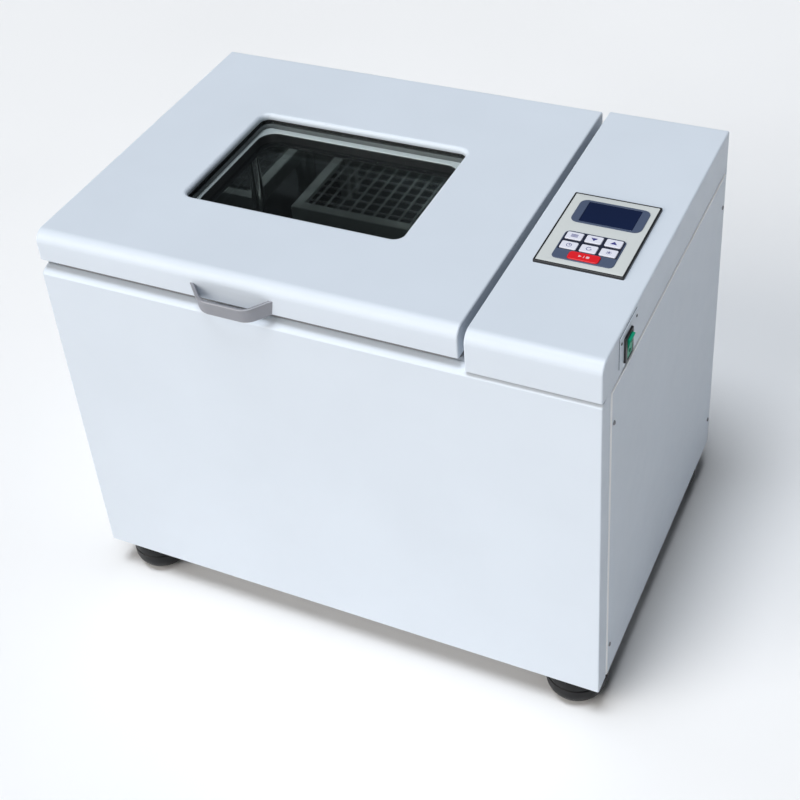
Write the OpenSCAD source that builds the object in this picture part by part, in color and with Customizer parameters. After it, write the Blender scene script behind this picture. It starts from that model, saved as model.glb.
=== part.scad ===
// Benchtop air-bath orbital shaker: a heated chamber with a windowed lid, an orbiting
// platform with sprung flask racks, and a control head on the right.
// Z is up and the feet stand on z = 0. X runs to the right of the front, Y to the back.
// Inside cabinet() the origin is the middle of the cabinet's underside.

/* [Cabinet] */
// Width of the cabinet
body_w = 700; // [680:1:720]
// Depth of the cabinet
body_d = 475; // [465:1:485]
// Height of the cabinet up to the deck that the lid closes on
body_h = 460; // [450:1:480]
// Height of the control head and the closed lid above the deck
head_h = 50; // [48:1:56]
// Thickness of the folded sheet steel
sheet = 1.5; // [1.2:0.1:2]
// Radius of the roll along the front top edge
roll_r = 15; // [10:1:20]
// Height of the rubber feet
foot_h = 47; // [40:1:55]
// Radius of the rubber feet
foot_r = 38; // [30:1:38]

/* [Lid and window] */
// How far the lid stands in from the cabinet's faces
lid_inset = 3.5; // [2:0.5:5]
// Open gap between the cabinet deck and the lid's lower edge
lid_gap = 12; // [11:0.5:14]
// Slot between the lid and the control head
head_slot = 8; // [6:1:10]
// Width of the window opening
win_w = 288; // [260:1:300]
// Depth of the window opening, front to back
win_d = 200; // [170:1:210]
// Angle that the lid opens to, from closed
lid_open = 0; // [0:1:95]

/* [Control head] */
// Width of the control head
head_w = 152; // [146:1:160]
// Width of the control bezel
panel_w = 104; // [100:1:108]
// Depth of the control bezel, front to back
panel_d = 141; // [136:1:144]
// Height of the bezel above the head
panel_rise = 3; // [2:0.5:4]
// Tilt of the rocker to each side of level
rocker_tilt = 8; // [5:1:9]

/* [Chamber and shaking drive] */
// Inside width of the chamber
chamber_w = 494; // [480:1:500]
// Inside depth of the chamber
chamber_d = 410; // [400:1:416]
// Height of the chamber floor above the cabinet's underside
floor_z = 140; // [138:1:146]
// Radius of the orbit
orbit_r = 10; // [6:1:13]
// Width of the pair of flask racks
rack_w = 410; // [380:1:414]
// Depth of the pair of flask racks together
rack_d = 344; // [320:1:350]
// Height of the rack tops above the cabinet's underside
rack_top = 259; // [240:1:270]
// Pitch of the springs in both directions
spring_pitch = 20; // [16:1:24]

/* [Hidden] */
$fn = 48;
fine = 64;
coarse = 24;

// Clearances
run_gap = 0.05;
part_gap = 0.4;

// Derived places, in the cabinet's own frame
half_w = body_w / 2;
half_d = body_d / 2;
top_z = body_h + head_h;
handle_reach = 18.5;
hinge_reach = 11;
switch_reach = 7;
lid_x0 = -half_w - 0.5;
lid_x1 = half_w - head_w - head_slot;
lid_z0 = body_h + lid_gap;
lid_h = top_z - lid_z0;
bay_x = (lid_inset - half_w + lid_x1) / 2;
lid_y = half_d - lid_inset;
win_x = bay_x - 0.8;
win_y = -4;

paint = [0.87, 0.89, 0.93];
dark_rubber = [0.08, 0.08, 0.09];
stainless = [0.72, 0.73, 0.75];
zinc = [0.6, 0.61, 0.63];
slate = [0.3, 0.34, 0.45];

// Everything stands on the feet, and the box around it all is centred on Z
module cabinet() {
    translate([-switch_reach / 2, (handle_reach - hinge_reach) / 2, foot_h]) children();
}

// A box by its lowest and highest corners
module span(low, high) {
    translate(low) cube(high - low);
}

// A rectangle centred on the origin with round corners
module round_rect(w, d, r) {
    union() {
        square([w - 2 * r, d], center = true);
        square([w, d - 2 * r], center = true);
        for (sx = [-1, 1], sy = [-1, 1])
            translate([sx * (w / 2 - r), sy * (d / 2 - r)]) circle(r, $fn = 32);
    }
}

module round_plate(w, d, r, z0, z1) {
    translate([0, 0, z0]) linear_extrude(z1 - z0) round_rect(w, d, r);
}

// A plate lying in YZ, extruded from x0 to x1
module along_x(x0, x1) {
    translate([x0, 0, 0]) rotate([90, 0, 90]) linear_extrude(x1 - x0) children();
}

// Side outline of the head and lid: square at the back, rolled at the front
module rolled_profile(y0, y1, z0, z1, r) {
    union() {
        translate([y0, z0]) square([y1 - y0, z1 - z0 - r]);
        translate([y0 + r, z0]) square([y1 - y0 - r, z1 - z0]);
        translate([y0 + r, z1 - r]) circle(r, $fn = fine);
    }
}

// ---- Cabinet ----

return_depth = 25;
back_return = 9.5;
ledge_depth = 15.5;
deck_skirt = 18;

module base_pan() {
    pan_flange = 20;
    color(zinc) cabinet() union() {
        span([-half_w + sheet, -half_d + sheet, 0], [half_w - sheet, half_d - sheet, 2]);
        for (s = [-1, 1])
            translate([s * (half_w - 1.5 * sheet), 0, (2 + pan_flange) / 2])
                cube([sheet, body_d - 2 * sheet, pan_flange - 2], center = true);
    }
}

module front_panel() {
    color(paint) cabinet() union() {
        span([-half_w, -half_d, 0], [half_w, -half_d + sheet, body_h]);
        span([-half_w, -half_d, body_h - sheet], [half_w, -half_d + ledge_depth, body_h]);
        for (s = [-1, 1])
            translate([s * (half_w - sheet / 2), -half_d + return_depth / 2, body_h / 2])
                cube([sheet, return_depth, body_h], center = true);
    }
}

vent_rows = 9;
vent_w = 90;
vent_x = 262;
vent_pitch = 12;
vent_z = 300;
inlet_x = 280;
inlet_z = 70;
inlet_w = 50;
inlet_h = 32;

module back_panel() {
    color(paint) cabinet() difference() {
        union() {
            span([-half_w, half_d - sheet, 0], [half_w, half_d, body_h]);
            for (s = [-1, 1])
                translate([s * (half_w - sheet / 2), half_d - back_return / 2, body_h / 2])
                    cube([sheet, back_return, body_h], center = true);
        }
        for (i = [0 : vent_rows - 1])
            translate([vent_x, half_d - sheet / 2, vent_z + i * vent_pitch])
                cube([vent_w, 3 * sheet, 5], center = true);
        translate([inlet_x, half_d - sheet / 2, inlet_z])
            cube([inlet_w - 18, 3 * sheet, inlet_h - 8], center = true);
    }
}

side_y0 = -half_d + return_depth;
side_y1 = half_d - back_return;
side_z0 = 3;
side_z1 = body_h - 5;
screw_y = [side_y0 + 8, side_y1 - 8];
screw_z = [side_z0 + 50, side_z1 - 47];
screw_r = 2;

// A screwed-on cover plate over one side, with a stepped edge; side is -1 or 1
module side_panel(side) {
    mid_y = (side_y0 + side_y1) / 2;
    mid_z = (side_z0 + side_z1) / 2;
    difference() {
        union() {
            translate([side * (half_w + 0.5), mid_y, mid_z])
                cube([1, side_y1 - side_y0, side_z1 - side_z0], center = true);
            translate([side * (half_w + 1.25), mid_y, mid_z])
                cube([0.5, side_y1 - side_y0 - 3, side_z1 - side_z0 - 3], center = true);
        }
        for (y = screw_y, z = screw_z)
            translate([side * half_w, y, z]) rotate([0, 90, 0])
                cylinder(h = 8, r = screw_r, center = true, $fn = coarse);
    }
}

module left_side_panel() {
    color(paint) cabinet() side_panel(-1);
}

module right_side_panel() {
    color(paint) cabinet() side_panel(1);
}

module panel_screws() {
    color("dimgray") cabinet()
        for (side = [-1, 1], y = screw_y, z = screw_z)
            translate([side * half_w, y, z]) rotate([0, side * 90, 0]) union() {
                cylinder(h = 1.5, r = screw_r, $fn = coarse);
                translate([0, 0, 1.5]) cylinder(h = 1.6, r = 2.8, $fn = coarse);
            }
}

liner_gap = 2;

module top_deck() {
    color(paint) cabinet() difference() {
        union() {
            span([-half_w + sheet, -half_d + ledge_depth, body_h - sheet],
                 [half_w - sheet, half_d - sheet, body_h]);
            for (s = [-1, 1])
                translate([s * (half_w - sheet / 2),
                           (side_y0 + side_y1) / 2, body_h - deck_skirt / 2])
                    cube([sheet, side_y1 - side_y0, deck_skirt], center = true);
        }
        translate([bay_x, 0, 0])
            round_plate(chamber_w + 2 * liner_gap, chamber_d + 2 * liner_gap, 8,
                        body_h - 2 * sheet, body_h + sheet);
        span([half_w - head_w + 25, -half_d + 50, body_h - 2 * sheet],
             [half_w - 25, half_d - 60, body_h + sheet]);
    }
}

foot_x = [-297, 309];
foot_front = foot_r;
foot_rear = 54;

module feet() {
    dome_r = 22;
    places = [-half_d + foot_front, half_d - foot_rear];
    color(dark_rubber) cabinet()
        for (x = foot_x, y = places)
            translate([x, y, 0]) rotate_extrude($fn = fine) union() {
                translate([0, dome_r - foot_h]) square([foot_r, foot_h - dome_r]);
                translate([0, -foot_h]) square([foot_r - dome_r, dome_r + 1]);
                intersection() {
                    translate([foot_r - dome_r, dome_r - foot_h])
                        circle(dome_r, $fn = fine);
                    translate([0, -foot_h]) square([foot_r, dome_r + 1]);
                }
            }
}

gasket_w = 7;
gasket_out = 18.5;

module lid_gasket() {
    top = lid_z0 - part_gap;
    color(dark_rubber) cabinet() translate([bay_x, 0, 0]) difference() {
        round_plate(chamber_w + 2 * gasket_out, chamber_d + 2 * gasket_out, 14,
                    body_h, top);
        round_plate(chamber_w + 2 * (gasket_out - gasket_w),
                    chamber_d + 2 * (gasket_out - gasket_w), 8, body_h - 1, top + 1);
    }
}

// ---- Chamber ----

liner_t = 1.2;
flange_w = 10;
liner_r = 12;
crank_hole_r = 24;
support_hole_r = 20;
support_x = 150;
support_y = 120;
fan_y = 0;
fan_z = 360;
probe_y = -150;
probe_z = 330;
right_wall = bay_x + chamber_w / 2;

// Where the four support cranks stand, relative to the middle of the chamber
support_places = [for (sx = [-1, 1], sy = [-1, 1]) [sx * support_x, sy * support_y]];

module floor_holes(extra, z0, z1) {
    translate([0, 0, z0]) cylinder(h = z1 - z0, r = crank_hole_r + extra);
    for (p = support_places)
        translate([p[0], p[1], z0]) cylinder(h = z1 - z0, r = support_hole_r + extra);
}

module chamber_liner() {
    color(stainless) cabinet() difference() {
        translate([bay_x, 0, 0]) union() {
            round_plate(chamber_w + 2 * liner_t, chamber_d + 2 * liner_t,
                        liner_r + liner_t, floor_z - liner_t, body_h);
            round_plate(chamber_w + 2 * flange_w, chamber_d + 2 * flange_w,
                        liner_r + flange_w, body_h, body_h + liner_t);
        }
        translate([bay_x, 0, 0])
            round_plate(chamber_w, chamber_d, liner_r, floor_z, body_h + 2);
        translate([bay_x, 0, 0]) floor_holes(0, floor_z - 3, floor_z + 1);
        translate([right_wall - 1, fan_y, fan_z]) rotate([0, 90, 0])
            cylinder(h = 4, r = 7, $fn = coarse);
        translate([right_wall - 1, probe_y, probe_z]) rotate([0, 90, 0])
            cylinder(h = 4, r = 3, $fn = coarse);
    }
}

module insulation() {
    thick = 20;
    out = liner_t + 0.3;
    color("khaki") cabinet() difference() {
        translate([bay_x, 0, 0])
            round_plate(chamber_w + 2 * thick, chamber_d + 2 * thick, 20,
                        floor_z - liner_t - thick, body_h - 3 * sheet);
        translate([bay_x, 0, 0])
            round_plate(chamber_w + 2 * out, chamber_d + 2 * out, liner_r + out,
                        floor_z - liner_t, body_h);
        translate([bay_x, 0, 0])
            floor_holes(6, floor_z - liner_t - thick - 1, floor_z + 1);
        translate([right_wall, fan_y, fan_z]) rotate([0, 90, 0])
            cylinder(h = thick + 2, r = 9, $fn = coarse);
        translate([right_wall, probe_y, probe_z]) rotate([0, 90, 0])
            cylinder(h = thick + 2, r = 4, $fn = coarse);
    }
}

// ---- Control head ----

head_x0 = half_w - head_w;
panel_x = head_x0 + 74.5;
panel_y = -24.5;
bezel_wall = 2.5;
switch_y = -161;
switch_z = body_h + 20.5;
switch_w = 26;
switch_h = 33;
plate_w = 60;
plate_h = 42;
plate_y = -157;
plate_z = body_h + 25;
plate_t = 1;

module control_cover() {
    cut_w = panel_w - 2 * bezel_wall - 1;
    cut_d = panel_d - 2 * bezel_wall - 1;
    color(paint) cabinet() difference() {
        along_x(head_x0, half_w)
            rolled_profile(-half_d, half_d, body_h, top_z, roll_r);
        along_x(head_x0 + sheet, half_w - sheet)
            rolled_profile(-half_d + sheet, half_d - sheet, body_h - 1, top_z - sheet,
                           roll_r - sheet);
        translate([panel_x, panel_y, top_z])
            cube([cut_w, cut_d, 4 * sheet], center = true);
        translate([half_w, switch_y, switch_z])
            cube([4 * sheet, switch_w - 2, switch_h - 3], center = true);
    }
}

module switch_plate() {
    color(paint) cabinet() difference() {
        span([half_w, plate_y - plate_w / 2, plate_z - plate_h / 2],
             [half_w + plate_t, plate_y + plate_w / 2, plate_z + plate_h / 2]);
        translate([half_w, switch_y, switch_z])
            cube([4 * sheet, switch_w - 2, switch_h - 3], center = true);
    }
}

bezel_t = 2.5;
rocker_w = 15;
rocker_h = 26;
rocker_room = 28.4;
pivot_x = half_w + plate_t;
pivot_r = 1.4;

module switch_housing() {
    front = half_w + plate_t + bezel_t;
    back = half_w - 20;
    cavity_w = rocker_w + 2 * part_gap;
    color("black") cabinet() difference() {
        union() {
            span([front - bezel_t, switch_y - switch_w / 2, switch_z - switch_h / 2],
                 [front, switch_y + switch_w / 2, switch_z + switch_h / 2]);
            span([back, switch_y - switch_w / 2 + 1.5, switch_z - switch_h / 2 + 2],
                 [front, switch_y + switch_w / 2 - 1.5, switch_z + switch_h / 2 - 2]);
            for (i = [-1 : 1])
                translate([back - 5, switch_y, switch_z + i * 9])
                    cube([10, 6.3, 0.8], center = true);
        }
        span([back + 8, switch_y - cavity_w / 2, switch_z - rocker_room / 2],
             [front + 1, switch_y + cavity_w / 2, switch_z + rocker_room / 2]);
        translate([pivot_x, switch_y, switch_z]) rotate([90, 0, 0])
            cylinder(h = rocker_w + 5, r = pivot_r + run_gap, center = true,
                     $fn = coarse);
    }
}

module switch_rocker() {
    crown = 4.2;
    belly = 3;
    depth = 6;
    outline = [
        [-depth, -4], [-depth, 4], [-1, rocker_h / 2 - 0.6], [crown, rocker_h / 2],
        [belly, 0], [crown, -rocker_h / 2], [-1, -rocker_h / 2 + 0.6]
    ];
    color("seagreen") cabinet()
        translate([pivot_x, switch_y, switch_z]) rotate([0, rocker_tilt, 0])
            rotate([90, 0, 0]) union() {
                linear_extrude(rocker_w, center = true) polygon(outline);
                cylinder(h = rocker_w + 4, r = pivot_r, center = true, $fn = coarse);
            }
}

face_t = 1;
face_z = top_z + panel_rise;
screen_w = 63;
screen_d = 40;
screen_x = 2;
screen_y = 35.5;
frame_w = 83;
frame_d = 46;
pad_w = 71;
pad_d = 53.5;
pad_y = -32.5;
key_w = 19.2;
key_d = 13.4;
key_pitch_x = 22.8;
key_pitch_y = 18.5;
key_row_y = pad_y + pad_d / 2 - 9.5;
start_w = 36;
start_d = 14;
start_y = pad_y - pad_d / 2 + 9.2;

// Moves to the middle of the control panel, at its face
module panel_place() {
    cabinet() translate([panel_x, panel_y, face_z]) children();
}

module control_bezel() {
    body_w_in = panel_w - 2 * bezel_wall - 1.6;
    body_d_in = panel_d - 2 * bezel_wall - 1.6;
    color("black") panel_place() difference() {
        union() {
            round_plate(panel_w, panel_d, 1.5, -panel_rise, 0);
            round_plate(body_w_in, body_d_in, 1.5, -panel_rise - 14, -panel_rise + 1);
        }
        round_plate(body_w_in - 4, body_d_in - 4, 1, -panel_rise - 15, -panel_rise);
        round_plate(panel_w - 4, panel_d - 4, 1, -face_t, 1);
        translate([screen_x, screen_y, 0])
            round_plate(screen_w + 2, screen_d + 1, 2, -panel_rise - 1, 1);
        translate([0, pad_y, 0])
            round_plate(pad_w - 3, pad_d - 3, 3, -panel_rise - 1, 1);
    }
}

module face_plate() {
    color("gainsboro") panel_place() difference() {
        round_plate(panel_w - 4.4, panel_d - 4.4, 1, -face_t, 0);
        translate([screen_x, screen_y, 0]) round_plate(screen_w + 2, screen_d + 1, 2, -2, 1);
        translate([0, pad_y, 0]) round_plate(pad_w - 3, pad_d - 3, 3, -2, 1);
    }
}

module display_frame() {
    color(slate) panel_place() translate([screen_x, screen_y, 0]) difference() {
        round_plate(frame_w, frame_d, 9, 0, 0.8);
        round_plate(screen_w, screen_d, 1, -1, 1);
    }
}

module display_lens() {
    color([0.03, 0.08, 0.2]) panel_place() translate([screen_x, screen_y, 0])
        round_plate(screen_w - 0.4, screen_d - 0.4, 1, -8, 0.5);
}

// The six small keys in rows of three, then the long one, as [x, y, width, depth]
key_list = concat(
    [for (row = [0, 1], col = [-1 : 1])
        [col * key_pitch_x, key_row_y - row * key_pitch_y, key_w, key_d]],
    [[0, start_y, start_w, start_d]]
);

module keypad_surround() {
    color(slate) panel_place() difference() {
        translate([0, pad_y, 0]) round_plate(pad_w, pad_d, 6, 0, 0.8);
        for (k = key_list)
            translate([k[0], k[1], 0])
                round_plate(k[2] + 2 * part_gap, k[3] + 2 * part_gap, 2, -1, 2);
    }
}

key_rise = 1.8;
key_lip = 0.7;

// One key of the list: a cap through the surround, with a lip that keeps it in
module key(i) {
    k = key_list[i];
    panel_place() translate([k[0], k[1], 0]) union() {
        round_plate(k[2], k[3], 1.6, -1.5, key_rise);
        round_plate(k[2] + 2 * key_lip, k[3] + 2 * key_lip, 2, -1.5, -part_gap);
        translate([0, 0, -6]) cylinder(h = 5, r = 2, $fn = coarse);
    }
}

module menu_key() {
    color("white") key(0);
}

module down_key() {
    color("white") key(1);
}

module up_key() {
    color("white") key(2);
}

module timer_key() {
    color("white") key(3);
}

module speed_key() {
    color("white") key(4);
}

module light_key() {
    color("white") key(5);
}

module start_key() {
    color("crimson") key(6);
}

module control_board() {
    board_z = -13;
    board_d = 112;
    color("darkgreen") panel_place() union() {
        round_plate(92, board_d, 2, board_z, board_z + 1.6);
        for (k = key_list)
            translate([k[0], k[1], board_z + 1.6 + 2]) cube([6, 6, 4], center = true);
        translate([0, screen_y, board_z + 1.6 + 1]) cube([60, 36, 2], center = true);
    }
}

module power_board() {
    board = [100, 150, 1.6];
    board_z = 16;
    board_x = 262;
    board_y = 110;
    color("darkgreen") cabinet() translate([board_x, board_y, 0]) union() {
        translate([0, 0, board_z + board[2] / 2]) cube(board, center = true);
        for (sx = [-1, 1], sy = [-1, 1])
            translate([sx * 44, sy * 68, 2]) cylinder(h = board_z - 2, r = 4, $fn = coarse);
        translate([-15, -35, board_z + 1.6]) translate([0, 0, 22])
            cube([56, 48, 44], center = true);
        for (i = [0 : 2])
            translate([30, 5 + 22 * i, board_z + 1.6]) cylinder(h = 28, r = 9);
        translate([-22, 35, board_z + 1.6 + 12]) cube([12, 60, 24], center = true);
    }
}

module power_inlet() {
    flange_t = 3;
    deep = 18;
    color("black") cabinet() translate([inlet_x, half_d, inlet_z]) union() {
        difference() {
            union() {
                translate([0, flange_t / 2, 0])
                    cube([inlet_w, flange_t, inlet_h], center = true);
                translate([0, flange_t / 2 - deep / 2 - 1, 0])
                    cube([inlet_w - 20, deep + 5, inlet_h - 10], center = true);
            }
            translate([0, flange_t - deep / 2 + 0.5, 0])
                cube([inlet_w - 26, deep + 1, inlet_h - 15.5], center = true);
        }
        for (i = [-1 : 1])
            translate([i * 7, flange_t - deep + 5, i == 0 ? 2.5 : -2])
                cube([2, 11, 4], center = true);
    }
}

// ---- Lid ----

hinge_y = half_d + 6;
hinge_z = lid_z0;
win_r = 12;
rim_w = win_w + 12;
rim_d = win_d + 12;
light_w = win_w - 9;
light_d = win_d - 17;
light_r = 22;
win_lip = 8;
seal_t = 1.5;
seal_z = top_z - win_lip - seal_t;
pane_t = 5;
pane_z = seal_z - pane_t;
ledge_t = 2;
ledge_drop = 6.5;
ledge_z = pane_z - ledge_drop;
pan_t = 1.2;

// The lid and all that it carries, swung about its hinge line
module on_lid() {
    cabinet() translate([0, hinge_y, hinge_z]) rotate([-lid_open, 0, 0])
        translate([0, -hinge_y, -hinge_z]) children();
}

module at_window() {
    on_lid() translate([win_x, win_y, 0]) children();
}

module lid_shell() {
    color(paint) union() {
        difference() {
            on_lid() difference() {
                along_x(lid_x0, lid_x1)
                    rolled_profile(-lid_y, lid_y, lid_z0, top_z, roll_r);
                along_x(lid_x0 + sheet, lid_x1 - sheet)
                    rolled_profile(-lid_y + sheet, lid_y - sheet, lid_z0 - 1,
                                   top_z - sheet, roll_r - sheet);
            }
            at_window() round_plate(win_w, win_d, win_r, top_z - 2 * sheet, top_z + 1);
        }
        at_window() difference() {
            round_plate(win_w + 2 * sheet, win_d + 2 * sheet, win_r + sheet,
                        seal_z + seal_t, top_z - sheet / 2);
            round_plate(win_w, win_d, win_r, seal_z, top_z + 1);
        }
    }
}

module lid_liner() {
    lip = 5;
    color(stainless) difference() {
        union() {
            on_lid() span([lid_x0 + sheet, -lid_y + sheet, lid_z0],
                          [lid_x1 - sheet, lid_y - sheet, lid_z0 + pan_t]);
            at_window() round_plate(light_w + 2 * pan_t, light_d + 2 * pan_t,
                                    light_r + pan_t, lid_z0, ledge_z - ledge_t);
        }
        at_window() round_plate(light_w, light_d, light_r, lid_z0 + pan_t, ledge_z);
        at_window() round_plate(light_w - 2 * lip, light_d - 2 * lip, light_r - lip,
                                lid_z0 - 1, lid_z0 + 2 * pan_t);
    }
}

module window_frame() {
    color("silver") at_window() difference() {
        round_plate(rim_w, rim_d, win_r + 6, ledge_z - ledge_t, pane_z);
        round_plate(win_w, win_d, win_r, ledge_z, pane_z + 1);
        round_plate(light_w, light_d, light_r, ledge_z - 2 * ledge_t, ledge_z + 1);
    }
}

module window_seal() {
    color(dark_rubber) at_window() difference() {
        round_plate(rim_w, rim_d, win_r + 6, seal_z, seal_z + seal_t);
        round_plate(win_w, win_d, win_r, seal_z - 1, top_z);
    }
}

module window_glass() {
    color([0.2, 0.25, 0.26, 0.6]) at_window() union() {
        round_plate(rim_w - 4, rim_d - 4, win_r + 4, pane_z, pane_z + pane_t);
        round_plate(light_w - 0.6, light_d - 0.6, light_r - 0.3, lid_z0 + pan_t,
                    lid_z0 + pan_t + 4);
    }
}

handle_x = bay_x - 6.5;
handle_z = lid_z0 + 10.5;
handle_h = 20;
handle_out = 22;
handle_end = 52;
handle_mid = 30;
strap_t = 4;
handle_tilt = 10;

module handle() {
    root = 4;
    slope = (handle_end - handle_mid) / handle_out;
    color("silver") on_lid() translate([handle_x, -lid_y, handle_z]) intersection() {
        rotate([handle_tilt, 0, 0]) linear_extrude(handle_h, center = true) difference() {
            polygon([
                [-handle_end - slope * root, root], [-handle_mid, -handle_out],
                [handle_mid, -handle_out], [handle_end + slope * root, root]
            ]);
            polygon([
                [-handle_end + 6 - slope * 2 * root, 2 * root],
                [-handle_mid + 2, -handle_out + strap_t],
                [handle_mid - 2, -handle_out + strap_t],
                [handle_end - 6 + slope * 2 * root, 2 * root]
            ]);
        }
        translate([0, -handle_out, 0]) cube([150, 2 * handle_out, 60], center = true);
    }
}

hinge_spread = 170;
hinge_w = 60;
knuckle_w = 28;
knuckle_r = 5;
pin_r = 2.5;
leaf_t = 2;

module at_hinges() {
    for (s = [-1, 1]) translate([bay_x + s * hinge_spread, 0, 0]) children();
}

module knuckle(x0, x1, r) {
    translate([x0, hinge_y, hinge_z]) rotate([0, 90, 0])
        cylinder(h = x1 - x0, r = r, $fn = 32);
}

module lid_hinge_leaves() {
    half_k = knuckle_w / 2;
    color(zinc) on_lid() at_hinges() difference() {
        union() {
            span([-hinge_w / 2, lid_y, hinge_z + 2.6],
                 [hinge_w / 2, lid_y + leaf_t, hinge_z + 32]);
            span([-half_k, lid_y, hinge_z + 2.6], [half_k, hinge_y, hinge_z + knuckle_r]);
            knuckle(-half_k, half_k, knuckle_r);
        }
        knuckle(-hinge_w, hinge_w, pin_r + run_gap);
    }
}

module cabinet_hinge_leaves() {
    half_k = knuckle_w / 2 + part_gap;
    color(zinc) cabinet() at_hinges() difference() {
        union() {
            span([-hinge_w / 2, half_d, hinge_z - 34],
                 [hinge_w / 2, half_d + leaf_t, hinge_z - 2.6]);
            span([-hinge_w / 2, half_d, hinge_z - knuckle_r],
                 [hinge_w / 2, hinge_y, hinge_z - 2.6]);
            knuckle(-hinge_w / 2, hinge_w / 2, knuckle_r);
        }
        span([-half_k, half_d - 1, hinge_z - knuckle_r - 1.5],
             [half_k, hinge_y + 2 * knuckle_r, hinge_z + 2 * knuckle_r]);
        knuckle(-hinge_w, hinge_w, pin_r + run_gap);
    }
}

module hinge_pins() {
    half = hinge_w / 2 + 0.3;
    color(stainless) cabinet() at_hinges() union() {
        knuckle(-half, half, pin_r);
        knuckle(half, half + 2, pin_r + 1.2);
        knuckle(-half - 2, -half, pin_r + 1.2);
    }
}

// ---- Shaking drive ----

pan_top = 2;
shaft_r = 12;
crank_pin_r = 8;
support_shaft_r = 8;
support_pin_r = 6;
pedestal_top = 80;
pulley_z = 88;
pulley_h = 20;
pulley_r = 80;
motor_pulley_r = 20;
rim_lip = 3;
motor_x = bay_x + 200;
motor_r = 50;
motor_shaft_r = 7;
belt_t = 3;
pin_top = floor_z + 28;
plate_z0 = floor_z + 32;
plate_z1 = plate_z0 + 4;
deck_x = bay_x - orbit_r;

module pulley(r) {
    union() {
        translate([0, 0, pulley_z]) cylinder(h = pulley_h, r = r, $fn = fine);
        translate([0, 0, pulley_z]) cylinder(h = 2, r = r + rim_lip, $fn = fine);
        translate([0, 0, pulley_z + pulley_h - 2])
            cylinder(h = 2, r = r + rim_lip, $fn = fine);
    }
}

module drive_motor() {
    color("dimgray") cabinet() translate([motor_x, 0, 0]) difference() {
        union() {
            translate([0, 0, pan_top]) cylinder(h = pedestal_top - pan_top - 4, r = motor_r);
            translate([0, 0, pan_top]) cylinder(h = 6, r = motor_r + 8);
            translate([0, 0, pan_top]) cylinder(h = pedestal_top - pan_top, r = 16);
        }
        translate([0, 0, pedestal_top - 25])
            cylinder(h = 30, r = motor_shaft_r + run_gap);
    }
}

module motor_pulley() {
    color(stainless) cabinet() translate([motor_x, 0, 0]) union() {
        translate([0, 0, pedestal_top - 22]) cylinder(h = 32, r = motor_shaft_r);
        pulley(motor_pulley_r);
    }
}

// Outline of a belt run round both pulleys, standing off them by gap
module belt_outline(gap) {
    hull() {
        translate([bay_x, 0]) circle(pulley_r + gap, $fn = 48);
        translate([motor_x, 0]) circle(motor_pulley_r + gap, $fn = 48);
    }
}

module drive_belt() {
    color(dark_rubber) cabinet() translate([0, 0, pulley_z + 2.5])
        linear_extrude(pulley_h - 5) difference() {
            belt_outline(part_gap + belt_t);
            belt_outline(part_gap);
        }
}

module main_crank() {
    hub_r = 26;
    hub_top = floor_z - 14;
    color("slategray") cabinet() translate([bay_x, 0, 0]) union() {
        translate([0, 0, 6]) cylinder(h = pulley_z - 5, r = shaft_r);
        pulley(pulley_r);
        translate([0, 0, pulley_z + pulley_h - 1])
            cylinder(h = hub_top - pulley_z - pulley_h + 1, r = hub_r);
        translate([-orbit_r, 0, hub_top - 1])
            cylinder(h = pin_top - hub_top + 1, r = crank_pin_r);
        translate([0, 0, pulley_z + pulley_h - 1]) linear_extrude(8) intersection() {
            circle(64, $fn = fine);
            translate([34, -70]) square([60, 140]);
        }
    }
}

// A floor pedestal with a true bore for a shaft of radius r
module pedestal(r, wall, base_r) {
    difference() {
        union() {
            translate([0, 0, pan_top]) cylinder(h = pedestal_top - pan_top, r = r + wall);
            translate([0, 0, pan_top]) cylinder(h = 6, r = base_r);
        }
        translate([0, 0, pan_top + 2]) cylinder(h = pedestal_top, r = r + run_gap);
    }
}

module crank_bearing() {
    color(zinc) cabinet() translate([bay_x, 0, 0]) pedestal(shaft_r, 14, 45);
}

module support_bearings() {
    color(zinc) cabinet() translate([bay_x, 0, 0])
        for (p = support_places) translate([p[0], p[1], 0])
            pedestal(support_shaft_r, 9, 28);
}

// One of the four idle cranks that hold the platform level; sx and sy pick the corner
module support_crank(sx, sy) {
    web_z = pedestal_top + 4;
    cabinet() translate([bay_x + sx * support_x, sy * support_y, 0]) union() {
        translate([0, 0, 12]) cylinder(h = web_z - 11, r = support_shaft_r);
        translate([0, 0, web_z]) cylinder(h = 10, r = 19);
        translate([-orbit_r, 0, web_z + 9])
            cylinder(h = pin_top - web_z - 9, r = support_pin_r);
    }
}

module front_left_crank() {
    color("slategray") support_crank(-1, -1);
}

module front_right_crank() {
    color("slategray") support_crank(1, -1);
}

module rear_left_crank() {
    color("slategray") support_crank(-1, 1);
}

module rear_right_crank() {
    color("slategray") support_crank(1, 1);
}

module platform() {
    boss_h = 22;
    color("silver") cabinet() translate([deck_x, 0, 0]) difference() {
        union() {
            round_plate(rack_w, rack_d, 8, plate_z0, plate_z1);
            translate([0, 0, plate_z0 - boss_h]) cylinder(h = boss_h + 1, r = 20);
            for (p = support_places) translate([p[0], p[1], plate_z0 - boss_h])
                cylinder(h = boss_h + 1, r = 15);
        }
        translate([0, 0, plate_z0 - boss_h - 1])
            cylinder(h = boss_h, r = crank_pin_r + run_gap);
        for (p = support_places) translate([p[0], p[1], plate_z0 - boss_h - 1])
            cylinder(h = boss_h, r = support_pin_r + run_gap);
    }
}

// ---- Flask racks ----

rack_split = 14;
half_rack_d = (rack_d - rack_split) / 2;
rack_wall = 2;
rack_face = 24;
rail_w = 16;
leg_w = 12;
spring_r = 2.5;

// Places its children at the middle of the front and the rear rack
module at_racks() {
    for (s = [-1, 1])
        translate([deck_x, s * (half_rack_d + rack_split) / 2, 0]) children();
}

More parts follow.
